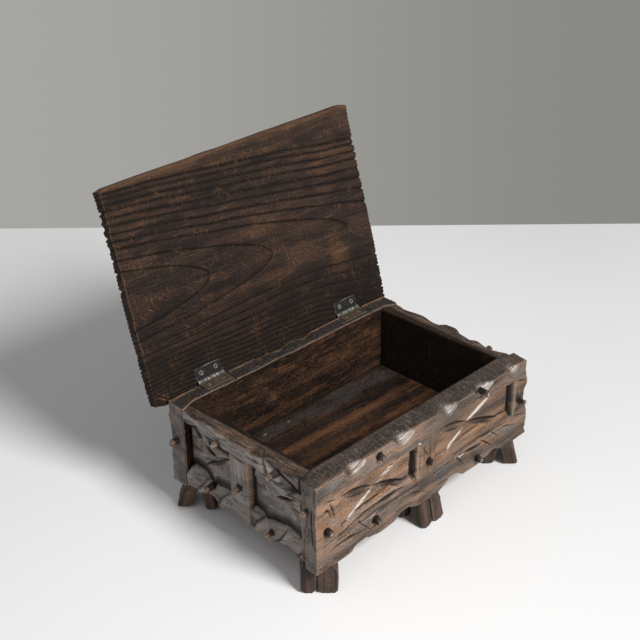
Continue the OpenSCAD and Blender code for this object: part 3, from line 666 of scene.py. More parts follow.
def carve_side_board(wall, step):
    """A side board: the seam with the lining wanders, so the board is thicker towards the front."""
    points, quads = wall.block(step, step, 1.2)
    u, v, w = points.T
    spread = (12.2 + 7.2 * u / wall.length) / wall.thick
    low_share, top_share = unit(1 - v / 20), unit((v - 70) / (wall.height - 70))
    x = u + seam_shift(w * spread) * (unit(1 - u / 14) + unit(1 - (wall.length - u) / 14))
    drop, fresh_and_glint = chips(u, w, SIDE_CHIPS, 7.0)
    rim_top = 0.8 + 0.8 * waves(u / 26, w / 8, 321 + wall.seed)
    rim_top += 0.25 * waves(u / 4, w / 2.5, 323 + wall.seed)
    z = v + low_share * SIDE_FOOT(u) - top_share * (drop + most(rim_top, 0.05))
    face = side_carving(x, z, wall.seed)
    outer = (0.6 + 1.0 * waves(u / 18, v / 60, 331 + wall.seed)) * ease(60, wall.height, v)
    y = w * spread + (face.depth + most(outer, 0)) * (1 - w / wall.thick)
    on_face, on_rim = ease(3, 0.8, w), (v >= wall.height - HAIR) * 1.0
    shown = on_face * (1 - on_rim)
    return wall.at(x, z, y), quads, points, {
        "pale": face.pale * shown, "fair": face.fair * shown, "grey": most(face.grey * shown, 0.1 * on_rim),
        "warm": most(face.warm * on_face, on_rim * (0.35 + 0.3 * fresh_and_glint)),
        "dark": most(face.dark * on_face, on_rim * most(0.6 + 0.5 * waves(u / 14, w / 1.6, 341 + wall.seed),
                                                        ease(wall.thick - 2.0, wall.thick - 0.8, w))),
        "hatch": 0.3 * on_rim,
    }


# Finishes. A wire is a value between nodes, and arithmetic on it adds Math nodes.

class Wire:
    """A value in a finish."""

    def __init__(self, tree, socket):
        self.tree, self.socket = tree, socket

    def maths(self, operation, *values):
        return put(self.tree, "ShaderNodeMath", {"operation": operation}, dict(enumerate(values)))

    def __add__(self, other):
        return self.maths("ADD", self, other)

    def __sub__(self, other):
        return self.maths("SUBTRACT", self, other)

    def __rsub__(self, other):
        return self.maths("SUBTRACT", other, self)

    def __mul__(self, other):
        return self.maths("MULTIPLY", self, other)

    __radd__, __rmul__ = __add__, __mul__

    def rising(self, low, high):
        """0 where the value is below low, 1 above high, smooth between."""
        return put(self.tree, "ShaderNodeMapRange", {"interpolation_type": "SMOOTHSTEP"},
                   {"Value": self, "From Min": low, "From Max": high})

    def along(self, direction):
        """How far a place lies in a direction."""
        return put(self.tree, "ShaderNodeVectorMath", {"operation": "DOT_PRODUCT"},
                   {0: self, 1: tuple(direction)}, "Value")

    def into(self, node, name):
        """Feeds one of a node's inputs."""
        self.tree.links.new(self.socket, node.inputs[name])


def put(tree, kind, settings=None, inputs=None, output=0):
    """Adds a node: its settings first, then the values or links of its sockets."""
    node = tree.nodes.new(kind)
    for key, value in (settings or {}).items():
        if key == "stops":
            ramp = node.color_ramp
            while len(ramp.elements) < len(value):
                ramp.elements.new(0.5)
            for stop, (position, colour) in zip(ramp.elements, value):
                stop.position, stop.color = position, (*colour, 1)
        else:
            setattr(node, key, value)
    for key, value in (inputs or {}).items():
        if isinstance(value, Wire):
            value.into(node, key)
        else:
            node.inputs[key].default_value = value
    return Wire(tree, node.outputs[output])


def mixed(tree, one, other, share):
    """A colour between two colours."""
    sides = {name: (*side, 1) if isinstance(side, tuple) else side for name, side in ((6, one), (7, other))}
    return put(tree, "ShaderNodeMix", {"data_type": "RGBA"}, {0: share, **sides}, 2)


def read(tree, name, output="Fac"):
    """A value that a piece's points carry."""
    return put(tree, "ShaderNodeAttribute", {"attribute_name": name}, None, output)


def ink(red, green, blue):
    """A colour written as a screen shows it, 0 to 255, in the render's own scale."""
    shares = (((c / 255 + 0.055) / 1.055) ** 2.4 if c > 10 else c / 3294.6 for c in (red, green, blue))
    return tuple(round(share, 4) for share in shares)


def scaled(colour, amount):
    """A colour made lighter or darker."""
    return tuple(min(1.0, c * amount) for c in colour)


def blend(*parts):
    """The sum of colours, each with its share, as (share, colour)."""
    return tuple(sum(share * colour[k] for share, colour in parts) for k in range(3))


def noise(tree, at, scale, detail=3.0, twist=0.0, roughness=0.55):
    """Noise over the grain's own places, stretched by a scale for each direction, in 1/mm."""
    spot = put(tree, "ShaderNodeVectorMath", {"operation": "MULTIPLY"}, {0: at, 1: scale})
    return put(tree, "ShaderNodeTexNoise", None, {"Vector": spot, "Scale": 1.0, "Detail": detail,
                                                  "Roughness": roughness, "Distortion": twist}, "Fac")


def new_material(name, sheen):
    """A new material, its node tree and its shader."""
    material = bpy.data.materials.new(name)
    material.use_nodes = True
    shader = material.node_tree.nodes["Principled BSDF"]
    shader.inputs["Specular IOR Level"].default_value = sheen
    return material, material.node_tree, shader


def bumped(tree, shader, strength, distance, height):
    """Fine relief, with its largest height in metres."""
    settings = {"Strength": strength, "Distance": distance, "Height": height}
    put(tree, "ShaderNodeBump", None, settings).into(shader, "Normal")


# What sets the woods apart: contrast, gloss, relief, scale of the bands, share of grey, mottle, light edges,
# flecks, sheen, streaks, scratches and dark grit.
WOODS = {"carved": (1.15, 0.28, 1.0, 0.07, 0.36, 2.2, 0.5, 0.3, 0.42, 0.6, 0, 0.7),
         "lid": (0.85, 0.42, 1.0, 0.04, 0.14, 3.2, 0.3, 1.0, 0.19, 0.8, 0.8, 0.8),
         "inside": (0.9, 0.42, 0.8, 0.05, 0.1, 2.8, 0.2, 0.8, 0.22, 0.7, 0.5, 0.6),
         "feet": (1.0, 0.42, 0.5, 0.2, 0.2, 1.0, 0.3, 0.3, 0.4, 1.0, 0, 0.45),
         "pegs": (1.2, 0.40, 0.6, 0.2, 0.2, 1.4, 0.5, 0.3, 0.4, 1.0, 0, 0.45)}
# Light scratches: the angle they slant at and their noise's scales.
SCRATCHES = ((0.7, (0.05, 1.6, 0.3)), (-1.0, (0.06, 1.9, 0.3)), (1.5, (0.04, 1.7, 0.3)))


def wood_finish(kind, shades, patina, orange, fresh_and_glint, soot_and_shade):
    """Old stained wood: long bands and streaks, a grey patina, orange where rubbed, light on worn edges,
    painted shade in hollows and dark places, and painted highlights and glints where fair or pale.
    """
    contrast, gloss, relief, bands, greys, mottle = WOODS[kind][:6]
    edges, flecked, sheen, streaky, scratched, grit = WOODS[kind][6:]
    material, tree, shader = new_material(kind, sheen)
    at = read(tree, "grain", "Vector")
    band = noise(tree, at, (0.008, bands, bands), 3, 0.6)
    streak = noise(tree, at, (0.028, 0.62, 0.62), 4, 0.5)
    fibre = noise(tree, at, (0.16, 2.4, 2.4))
    cloud = noise(tree, at, (0.035, 0.07, 0.07), 4, 0.5)
    speck = noise(tree, at, (0.55, 0.9, 0.9), 4, 0, 0.75)
    value = (band - 0.5) * (1.9 * contrast) + (streak - 0.5) * (1.1 * contrast * streaky)
    value = value + (fibre - 0.5) * 0.7 + 0.5
    value = value + (speck - 0.5) * (1.1 * mottle) + (cloud - 0.5) * (0.8 * contrast)
    stops = list(zip((0.05, 0.3, 0.5, 0.72, 0.98), shades))
    colour = put(tree, "ShaderNodeValToRGB", {"stops": stops}, {"Fac": value})
    greyed = read(tree, "grey") * 0.9 + (greys - 0.25) + (cloud - 0.5) * 2.4
    greyed = greyed + (streak - 0.5) * (1.4 * streaky)
    bloom = mixed(tree, scaled(patina, 0.35), patina, value.rising(0.2, 0.75))
    colour = mixed(tree, colour, bloom, greyed.rising(0.1, 0.8) * 0.8)
    warmth = read(tree, "warm") + (streak - 0.5) * 1.2 + (speck - 0.5) * 0.9 - 0.15
    glow = mixed(tree, scaled(orange, 0.35), orange, value.rising(0.2, 0.8))
    colour = mixed(tree, colour, glow, warmth.rising(0.1, 0.9) * 0.75)
    # Lighter wood where marked fair: worn places, and painted highlights on crests, ridges and sides.
    fair = read(tree, "fair") * (1.2 * speck + 0.4 * streak)
    colour = mixed(tree, colour, blend((0.62, patina), (0.32, fresh_and_glint)), fair)
    worn = read(tree, "worn")
    rubbed = (worn + (speck - 0.5) * 0.5).rising(0.12, 0.5) * edges
    colour = mixed(tree, colour, blend((0.5, orange), (0.3, fresh_and_glint)), rubbed)
    # Painted shade: hollows, broad sunk places and the marked dark places are mixed towards the dark stain.
    hollow = (0 - worn + (speck - 0.5) * 0.15).rising(0.06, 0.5)
    sunk = (read(tree, "sunk") + (speck - 0.5) * 0.4 + (fibre - 0.5) * 0.3).rising(0.25, 1.5)
    dark = read(tree, "dark")
    shade = (dark + (speck - 0.5) * 0.5 + (fibre - 0.5) * 0.3).rising(0.05, 1.0)
    for share in (hollow * 0.85, sunk * 0.92, shade):
        colour = mixed(tree, colour, soot_and_shade, share)
    flecks = (speck + (fibre - 0.5) * 0.8).rising(0.68, 0.78) * flecked
    colour = mixed(tree, colour, orange, flecks)
    pits = (0.5 - speck + (fibre - 0.5) * 0.4).rising(0.03, 0.17)
    colour = mixed(tree, colour, soot_and_shade, pits * grit)
    # Saw and scraper marks across the rims, light scratches, and the streaks of fresh cuts with their painted
    # glint.
    strokes = noise(tree, at, (0.75, 0.5, 0.16), 3, 1.5, 0.7)
    struck = (strokes + (speck - 0.5) * 0.7).rising(0.5, 0.62) * read(tree, "hatch")
    colour = mixed(tree, colour, blend((0.33, patina), (0.1, fresh_and_glint), (0.12, orange)), struck * 0.8)
    for turn, stretch in SCRATCHES if scratched else ():
        slanted = put(tree, "ShaderNodeVectorRotate", {"rotation_type": "Z_AXIS"},
                      {"Vector": at, "Angle": turn})
        thin = noise(tree, slanted, stretch, 1.5, 0.3, 0.6).rising(0.67, 0.71)
        colour = mixed(tree, colour, scaled(fresh_and_glint, 0.55), thin * cloud.rising(0.42, 0.62) * scratched)
    # Pale places: fresh wood, and painted glints on cuts, chips and peg tips.
    fresh_and_glint_share = (read(tree, "pale") + (streak - 0.5) * 1.9 + (fibre - 0.5) * 0.9 - 0.2).rising(0.15, 0.75)
    mixed(tree, colour, fresh_and_glint, fresh_and_glint_share * 0.8).into(shader, "Base Color")
    rough = gloss + 0.1 + (fibre - 0.5) * 0.5 + (speck - 0.5) * 0.4 - fresh_and_glint_share * 0.12
    (rough + hollow * 0.2 + (dark + sunk) * 0.3).into(shader, "Roughness")
    bumped(tree, shader, relief, 0.0010, streak * 0.7 + fibre * 0.45 + speck * 0.45)
    return material


def iron_finish(kind, base, dust, bright):
    """Tarnished iron, brighter on its worn edges, with brown dust on what lies flat."""
    material, tree, shader = new_material(kind, 0.4)
    at = read(tree, "grain", "Vector")
    blot = noise(tree, at, (0.35, 0.35, 0.35), 5, 0.5, 0.65)
    fine = noise(tree, at, (2.2, 2.2, 2.2))
    colour = mixed(tree, scaled(base, 0.4), base, (blot + (fine - 0.5) * 0.6).rising(0.35, 0.65))
    dusty = (read(tree, "warm") + (blot - 0.5) * 2.0 + (fine - 0.5) - 0.1).rising(0.1, 0.9)
    colour = mixed(tree, colour, mixed(tree, scaled(dust, 0.3), dust, fine.rising(0.3, 0.7)), dusty * 0.9)
    shiny = (read(tree, "worn") * 4 + read(tree, "pale") + (fine - 0.5) * 1.2).rising(0.25, 0.8)
    colour = mixed(tree, colour, bright, shiny * 0.8)
    mixed(tree, colour, (0.004, 0.004, 0.004), read(tree, "dark")).into(shader, "Base Color")
    (0.35 + blot * 0.4).into(shader, "Roughness")
    (0.35 - dusty * 0.3 + shiny * 0.4).into(shader, "Metallic")
    bumped(tree, shader, 0.6, 0.0003, blot + fine * 0.6)
    return material


# Settings that a user would change.

def colour_setting(name, description, default):
    """A colour."""
    return bpy.props.FloatVectorProperty(name=name, description=description, default=default, size=3,
                                         subtype="COLOR", min=0, max=1)


def length_setting(name, description, millimetres):
    """A length, kept in metres."""
    return bpy.props.FloatProperty(name=name, description=description, default=millimetres * MM,
                                   min=0, unit="LENGTH", precision=5)


class CarvedBoxSizes(bpy.types.PropertyGroup):
    """Sizes of the parts that aren't in the frame."""
    mesh_step: length_setting("Mesh step", "Distance between mesh lines on the carved boards", 0.95)
    lid_step: length_setting("Lid mesh step", "Distance between mesh lines across the lid's grain", 0.6)
    ridge: length_setting("Lid ridges", "Depth of the grooves between the lid's raised grain lines", 1.15)
    peg_stand: length_setting("Peg stand", "How far the pegs stand out of the boards", 6.6)
    peg_width: length_setting("Peg width", "Width of a square peg", 5.2)


class CarvedBoxColours(bpy.types.PropertyGroup):
    """Colours of the woods and the iron."""
    carved: colour_setting("Carved wood", "Middle colour of the carved boards", ink(118, 94, 76))
    patina: colour_setting("Patina", "Blue-grey bloom on the carved boards", ink(112, 107, 105))
    orange: colour_setting("Rubbed wood", "Orange-brown where the stain is rubbed", ink(172, 121, 76))
    # Also the painted glint of fresh cuts and chips.
    fresh_and_glint: colour_setting("Fresh chips", "Pale wood in the chips", ink(205, 196, 186))
    # Also the painted shade in hollows and creases.
    soot_and_shade: colour_setting("Hollows", "Stain in the hollows", ink(24, 17, 13))
    lid: colour_setting("Lid", "Middle colour of the lid", ink(34, 23, 19))
    inside: colour_setting("Inside", "Middle colour of the inner boards", ink(40, 27, 21))
    feet: colour_setting("Feet", "Middle colour of the feet", ink(72, 54, 44))
    iron: colour_setting("Iron", "Tarnished iron of the hinges", ink(40, 40, 39))


def size_of(context, key):
    """One of the lengths a user would change, in mm."""
    return getattr(context.scene.carved_box_sizes, key) / MM


def ramp_of(middle, orange):
    """Five shades of a wood from its middle colour, darkest first."""
    light = blend((0.55 * 1.9, middle), (0.45, orange))
    return scaled(middle, 0.12), scaled(middle, 0.5), tuple(middle), blend((0.6, middle), (0.4, light)), light


def finish(context, kind):
    """One of the finishes, made when it is first asked for."""
    if kind in bpy.data.materials:
        return bpy.data.materials[kind]
    look = context.scene.carved_box_colours
    if kind == "iron":
        return iron_finish(kind, tuple(look.iron), ink(104, 84, 66), ink(170, 166, 158))
    patina, orange, fresh_and_glint, soot_and_shade = (tuple(getattr(look, key)) for key in ("patina", "orange", "fresh_and_glint", "soot_and_shade"))
    # For each wood: its middle and light colours, then its patina, its rubbed wood and its fresh wood with
    # its glint.
    middle, light, *others = {
        "carved": (look.carved, orange, patina, orange, fresh_and_glint),
        "lid": (look.lid, scaled(orange, 0.33), scaled(patina, 0.13), scaled(orange, 0.44),
                scaled(orange, 1.2)),
        "inside": (look.inside, scaled(orange, 0.3), scaled(patina, 0.3), (0.15, 0.066, 0.031), orange),
        "feet": (look.feet, scaled(orange, 0.6), scaled(patina, 0.5), scaled(orange, 0.6), fresh_and_glint),
        "pegs": (look.feet, scaled(orange, 0.8), scaled(patina, 1.1), scaled(orange, 0.8),
                 scaled(fresh_and_glint, 0.7)),
    }[kind]
    return wood_finish(kind, ramp_of(middle, light), *others, soot_and_shade)


# The operators, one for each piece or group of pieces.

class BoxOperator:
    """What the operators share."""
    bl_options = {"REGISTER", "UNDO"}


class CARVEDBOX_OT_front_board(BoxOperator, bpy.types.Operator):
    """Build the carved front board"""
    bl_idname = "carved_box.front_board"
    bl_label = "Front Board"

    def execute(self, context):
        wall = Wall("front_board")
        room, quads, grain, values = carve_end_board(wall, FRONT_CHIPS, size_of(context, "mesh_step"))
        heap = Heap(45).add(room, quads, grain, **values)
        inner = grain[:, 2] > wall.thick - HAIR
        heap.piece(context, "carved_front_board", "carved", "front_board", inner=inner)
        return {"FINISHED"}


class CARVEDBOX_OT_back_board(BoxOperator, bpy.types.Operator):
    """Build the carved back board, with the mortises of the hinges"""
    bl_idname = "carved_box.back_board"
    bl_label = "Back Board"

    def execute(self, context):
        wall = Wall("back_board", 7)
        leaves = [node_box(side + "_hinge_body_leaf") for side in SIDES]
        spans = [(wall.start[0] - high[0], wall.start[0] - low[0]) for low, high in leaves]
        reach = wall.start[1] - min(low[1] for low, _ in leaves)
        notches = [x + way * gap for span in spans for x, way in zip(span, (-1, 1)) for gap in (0.05, 0.5)]

        def split(u, w, half):
            return sum(mound(a - 2.0 + 0.16 * (w - 8), half, u) for a, _ in spans)

        def sunk_leaf(u, w):
            inside = sum(between(a - 0.2, b + 0.2, u) for a, b in spans)
            mortise = 1.1 * (w < reach + 0.4) + 1.2 * (w < 1.2)
            return inside * mortise + 1.8 * split(u, w, 1.7) * (1 - inside)

        step = size_of(context, "mesh_step") * 1.2
        room, quads, grain, values = carve_end_board(wall, BACK_CHIPS, step, notches, sunk_leaf)
        u, v, w = grain.T
        inner = w > wall.thick - HAIR
        across = wall.length - u + 6 * waves(v / 3, u / 60, 251)
        band = mound(27 + 1.5 * waves(u / 40, v * 0, 253), 6.5, v) * (1 - ease(150, 225, across)) * inner
        warm = band + 0.75 * ease(-0.1, 0.5, waves(u / 14, v / 5, 255))
        values["warm"] = np.where(inner, warm, values["warm"])
        dark = 0.3 * ease(0, 0.6, waves(u / 18, v / 9, 257)) * (1 - band) + 0.7 * mound(17.5, 2.5, v)
        rim_split = split(u, w, 1.9) * (v >= wall.height - HAIR)
        values["dark"] = most(np.where(inner, dark, values["dark"]), rim_split)
        values["hatch"] = 0.5 * values["hatch"]
        heap = Heap(30).add(room, quads, grain + [400, 0, 0], **values)
        heap.piece(context, "carved_back_board", "carved", "back_board", inner=inner)
        return {"FINISHED"}


class CARVEDBOX_OT_side_boards(BoxOperator, bpy.types.Operator):
    """Build the two carved side boards"""
    bl_idname = "carved_box.side_boards"
    bl_label = "Side Boards"

    def execute(self, context):
        for node, seed in (("left_board", 0), ("right_board", 9)):
            room, quads, grain, values = carve_side_board(Wall(node, seed), size_of(context, "mesh_step"))
            heap = Heap(45).add(room, quads, grain + [700 + 300 * seed, 0, 40], **values)
            heap.piece(context, "carved_" + node, "carved", node)
        return {"FINISHED"}


class CARVEDBOX_OT_linings(BoxOperator, bpy.types.Operator):
    """Build the plain boards that line the sides"""
    bl_idname = "carved_box.linings"
    bl_label = "Side Linings"

    def execute(self, context):
        # The right liner's inner face is painted much darker than the left's, as painted shade.
        for node, seed, inner_dark in (("left_liner", 0, 0.35), ("right_liner", 9, 0.85)):
            wall = Wall(node, seed)
            points, quads = wall.block(1.3, 1.6, 1.1)
            u, v, w = points.T
            thin, through = -0.8 + 7.2 * u / wall.length, w / wall.thick
            y = thin + through * (wall.thick - thin)
            y = y - through * (0.3 + 0.3 * waves(u / 20, v / 3, 403 + seed))
            rim = 0.9 + 0.5 * waves(u / 16, w / 6, 401 + seed) + 1.4 * ease(wall.thick - 2, wall.thick, w)
            rim = rim + ease(1.4, 0, w)
            z = v - unit((v - 74) / (wall.height - 74)) * rim
            z = z + unit(1 - v / 18) * (SIDE_FOOT(u) + 1)
            inner = (w > wall.thick - HAIR) * 1.0
            dark = most(inner * inner_dark + 0.45 * (1 - inner), (1 - inner) * ease(2.2, 0.8, w - thin))
            heap = Heap().add(wall.at(u, z, y), quads, points + [1500 + 300 * seed, 0, 0], dark=dark,
                              warm=0.3 * (1 - inner) * ease(110, 150, u))
            heap.piece(context, "plain_" + node, "inside", node)
        return {"FINISHED"}


class CARVEDBOX_OT_floor_boards(BoxOperator, bpy.types.Operator):
    """Build the two floor boards"""
    bl_idname = "carved_box.floor_boards"
    bl_label = "Floor Boards"

    def execute(self, context):
        back_edge = node_box("back_board")[0][1]
        for node, seed in (("front_floor_board", 0), ("back_floor_board", 5)):
            low, high = node_box(node)
            long, deep, thick = high - low
            points, quads = block(lines(0, long, 2.2), lines(0, deep, 1.2), lines(0, thick, 4))
            u, v, w = points.T
            sag = 0.25 * waves(u / 60, v / 5, 421 + seed) + 0.12 * waves(u / 20, v / 1.8, 423 + seed)
            lip = 1.1 * mound(0 if seed else deep, 2.2, v)
            z = w - ease(thick - 5, thick, w) * (0.4 + sag + lip)
            away = back_edge - (low[1] + v)
            wander = away + 3.0 * waves(u / 90, v * 0, 431) + 1.2 * waves(u / 14, v / 3, 433)
            warm = 0.95 * mound(49, 11, wander) * (1 - 0.5 * ease(150, 250, u))
            warm += 0.9 * mound(98, 34, wander) * ease(80, 180, u) + 0.5 * mound(74, 9, wander)
            warm += 0.35 * ease(0.1, 0.6, waves(u / 24, v / 9, 439))
            dark = 0.45 * mound(63, 7, wander) + 0.5 * mound(36, 7, wander) + 0.4 * mound(134, 14, wander)
            # The grey band and the pale flecks near the back wall are a painted sheen of reflected light.
            pale = 0.9 * mound(12, 2.6, wander) * (waves(u / 7, v / 3, 437) > 0.4)
            room = placed(np.stack([u, v, z], 1), low, (1, 0, 0), (0, 1, 0), (0, 0, 1))
            heap = Heap().add(room, quads, points + [2200 + 300 * seed, 0, 0], warm=warm, pale=pale,
                              dark=most(dark, 1 - ease(0.5, 3.5, away)), grey=1.2 * mound(14, 20, wander))
            heap.piece(context, "plain_" + node, "inside", node)
        return {"FINISHED"}


# The lid. x is the distance from the left, s the distance from the pin's axis towards the front edge, and t
# the depth from the inner face. The grain's loops are listed by where they cross its middle line, and the
# rows between the loops and the hinges by their distance from the pin.

LOOPS = (84, 165, 272, 353, 450, 562, 675, 818, 951, 1098, 1225)
ROWS = (52, 45, 38.5, 33, 28.5, 24, 20, 16, 12, 8, 4, 0, -4)
LID_THICK, LID_LONG, LID_GAP = 11.0, 206.9, 0.3
# The hinges' pin, the hollow that their knuckles need, and how far their leaves reach over the lid.
PIN_RADIUS, KNUCKLE_ROOM, LEAF_REACH = 1.2, 2.9, 14.15


def lid_grain(x, s):
    """The sunk lines between the lid's raised grain, and the slopes beside them, from 0 to 1."""
    s = s + 1.4 * waves(x / 50, s / 30, 501, 2)
    across = s - (98.5 - 0.044 * (x + 11))
    level = x + across ** 2 / 8.8
    slope = np.sqrt(1 + (across / 4.4) ** 2)
    line, shelf = np.zeros_like(x), np.zeros_like(x)
    for k, at in enumerate(LOOPS):
        away = (level - at) / slope
        keep = (across > 0) | (k < 2)
        width = 0.8 + 0.12 * min(k, 6) + 0.35 * waves(x / 30, s / 200 + k, 503, 2)
        shown = keep * (0.75 + 0.35 * waves(x / 45, k + s * 0, 507, 2))
        line = most(line, np.exp(-(away / width) ** 2) * shown)
        shelf = most(shelf, np.exp(-most(-away, 0) / 5.0) * (away < 0) * keep)
    for k, at in enumerate(ROWS):
        away = s - (at - (12 + (52 - at) * 0.6) * ease(190, 335, x) + 4.5 * ease(0, 200, x) * (at - 39) / 13)
        width = 0.65 + 0.25 * waves(x / 30, k + s * 0, 511, 2)
        shown = (across < 0) * (0.7 + 0.35 * waves(x / 40, k + s * 0, 513, 2))
        shelf = most(shelf, 0.8 * np.exp(-most(away, 0) / 3.0) * (away > 0) * (across < 0))
        line = most(line, np.exp(-(away / width) ** 2) * shown)
    return np.clip(line, 0, 1.2), shelf


def lid_axes():
    """The open lid's directions: from the pin to its front edge, and from its inner face to its outer one."""
    hinge = next(joint for joint in frame["joints"] if joint["name"] == "lid_hinge")
    opening = math.radians(-hinge["range_deg"][1])
    cos, sin = math.cos(opening), math.sin(opening)
    return np.array([0, -cos, -sin]), np.array([0, -sin, cos])


class CARVEDBOX_OT_lid(BoxOperator, bpy.types.Operator):
    """Build the lid's plank, with its raised grain and ragged ends"""
    bl_idname = "carved_box.lid"
    bl_label = "Lid"

    def execute(self, context):
        pin = np.array([0.0, *node_box("left_hinge_pin")[0][1:]]) + [0, PIN_RADIUS, PIN_RADIUS]
        low, high = node_box("lid_plank")
        wide, ridge = high[0] - low[0], size_of(context, "ridge")
        leaves = [node_box(side + "_hinge_lid_leaf") for side in SIDES]
        spans = [(a[0] + wide / 2, b[0] + wide / 2) for a, b in leaves]
        notches = [x + gap for span in spans for x, way in zip(span, (-1, 1)) for gap in (0, 0.35 * way)]
        points, quads = block(
            lines(0, wide, 1.5, *notches),
            lines(-6, LID_LONG, size_of(context, "lid_step"), -2.9, -2.5, -1.5, 0, 1.5, 2.5, 2.9, 14.0, 14.3),
            lines(0, LID_THICK, 0.9))
        u, s, t = points.T
        x, through = u - 9.5, t / LID_THICK
        line, shelf = lid_grain(x, s)
        other, other_shelf = lid_grain(300 - x * 0.9, s * 0.94 + 3)
        # The inner face with the leaves' mortises and the knuckles' hollows, then the outer face.
        inside = sum(between(a - 0.1, b + 0.1, u) for a, b in spans)
        mortise = inside * np.where(s > -0.1, 1.05 * (s < LEAF_REACH), 0)
        hollow = inside * np.sqrt(np.clip(KNUCKLE_ROOM ** 2 - s ** 2, 0, None)) * (np.abs(s) < KNUCKLE_ROOM)
        scrape = 0.25 + 0.22 * waves(x / 70, s / 9, 521) + 0.08 * waves(x / 14, s / 2.2, 523)
        front = most(scrape + ridge * (line + 0.6 * shelf), 0.02)
        front = np.where(inside * (s < LEAF_REACH) > 0, most(mortise, hollow), front)
        back = 0.3 + 0.3 * waves(x / 60, s / 10, 525) + ridge * (other + 0.35 * other_shelf)
        depth = t + front * (1 - through) - most(back, 0.05) * through
        # The ends: the raised grain stands out, with slanting saw marks across the thickness.
        ragged = 0.3 + 0.9 * waves(s / 16, t / 40, 531) + 1.6 * (line * (1 - through) + other * through)
        ragged = ragged + 0.4 * np.sin((s + 0.9 * t) * 1.55 + waves(s / 12, t / 9, 533))
        left_in = ragged - 1.6 * (1 - ease(60, 150, s))
        right_in = ragged + 3.2 + 1.5 * (1 - ease(0, 60, s))
        px = u - wide / 2 + unit(1 - u / 9) * left_in - unit(1 - (wide - u) / 9) * right_in
        top_in = 1.0 + 0.5 * waves(u / 25, t / 5, 541) + most(3.5 - 8.5 * u / wide, -4.6)
        ps = s - unit(1 - (LID_LONG - s) / 30) * most(top_in, -4.6)
        corner = mound(0, 9, u) + mound(wide, 7, u)
        ps = ps - corner * ease(LID_LONG - 6, LID_LONG, s) * 1.6 + corner * ease(-2, -6, s) * 2.5
        # The tints: rubbed patches, dark lines with painted shade on the slopes beside them, painted shade
        # near the hinges with dark blotches, and the worn front edge.
        on_end = most(u < HAIR, u > wide - HAIR) * 1.0
        rubbed = 0.75 * mound(252, 26, x) * mound(62, 55, s) + 0.6 * mound(255, 45, x) * mound(150, 55, s)
        rubbed += 0.4 * mound(5, 30, x) * mound(150, 70, s) + 0.35 * mound(170, 60, x) * mound(60, 20, s)
        drawn, beside = (np.where(t < LID_THICK / 2, *pair) for pair in ((line, other), (shelf, other_shelf)))
        shaded = 0.5 * (1 - ease(20, 75, s)) + 0.5 * mound(285, 75, x) * (1 - ease(25, 75, s))
        shaded += 0.3 * ease(0.0, 0.6, waves(x / 60, s / 12, 551)) * (1 - rubbed)
        worn_edge = ease(LID_LONG - 9, LID_LONG - 1, s + 2 * waves(x / 14, s / 20, 553))
        lit = 0.22 * ease(0.1, 0.7, waves(x / 24, s / 3, 557)) * ease(60, 150, s)
        plain = (1 - drawn) * (1 - on_end)
        heap = Heap().add(placed(np.stack([px, ps, depth + LID_GAP], 1), pin, (1, 0, 0), *lid_axes()), quads,
                          np.stack([x, s, t], 1) + [3000, 0, 0], grey=0.9 * on_end,
                          dark=unit((1.2 * drawn + 0.3 * beside) * (1 - on_end) + shaded),
                          warm=unit(rubbed + 0.5 * worn_edge) * plain,
                          fair=(0.3 * worn_edge + lit) * plain)
        heap.piece(context, "ridged_lid_plank", "lid", "lid_plank", "lid")
        return {"FINISHED"}


PEGS = {"front_pegs": ("front_board", FRONT_PEGS), "back_pegs": ("back_board", BACK_PEGS),
        "left_pegs": ("left_board", SIDE_PEGS), "right_pegs": ("right_board", SIDE_PEGS),
        "left_end_pegs": ("left_board", END_PEGS), "right_end_pegs": ("right_board", END_PEGS)}
# How far the pegs reach into the boards, in mm.
PEG_SUNK = 5


class CARVEDBOX_OT_pegs(BoxOperator, bpy.types.Operator):
    """Build the square pegs in the faces"""
    bl_idname = "carved_box.pegs"
    bl_label = "Pegs"

    def execute(self, context):
        stand, half = size_of(context, "peg_stand"), size_of(context, "peg_width") / 2
        for node, (board, places) in PEGS.items():
            wall, heap = Wall(board), Heap()
            warm, dark = (0.35, 0.6) if node == "front_pegs" else (0.75, 0.3)
            for number, (along, up, turn) in enumerate(places):
                seed = 600 + 17 * number + len(node)
                square = lines(-half, half, 0.8)
                points, quads = block(square, square, lines(-stand, PEG_SUNK, 0.9))
                a, b, w = points.T
                size = 1 + 0.22 * waves(w / 3, np.full_like(w, seed % 7), seed, 2)
                round_off = (np.abs(a / half) ** 6 + np.abs(b / half) ** 6) ** (1 / 6)
                head = ease(-stand + 2.2, -stand, w)
                size = size / most(round_off, 0.75) * (1 - 0.28 * head)
                bump = 0.5 * waves(a / 2, b / 2 + w / 3, seed + 2)
                out = w + head * (1.3 * waves(a / 3, b / 3, seed + 5, 2) + 0.8)
                cos, sin = math.cos(math.radians(turn)), math.sin(math.radians(turn))
                px, pz = (a * cos + b * sin) * size + bump, (-a * sin + b * cos) * size + bump * 0.6
                lean = 0.06 * (number % 3 - 1)
                tip = (w < -stand + HAIR) * 1.0
                # One side of each peg and pale spots on its tip are painted highlights; the wood near the
                # board is painted dark as shade. Grey on the tip is end grain.
                heap.add(wall.at(along + px + lean * w, up + pz + 0.04 * w, out), quads,
                         np.stack([w, a + 20 * number, b], 1) + [4000, 0, 0], grey=0.6 * tip, warm=warm,
                         pale=0.75 * tip * ease(-0.2, 0.3, waves(a / 2.4, b / 2.4, seed + 9)),
                         fair=0.4 * tip + 0.3 * (b > half * 0.3) * (1 - tip),
                         dark=dark * (1 - 0.5 * tip) + 0.5 * (w > -2.5))
            heap.piece(context, "rough_" + node, "pegs", node)
        return {"FINISHED"}


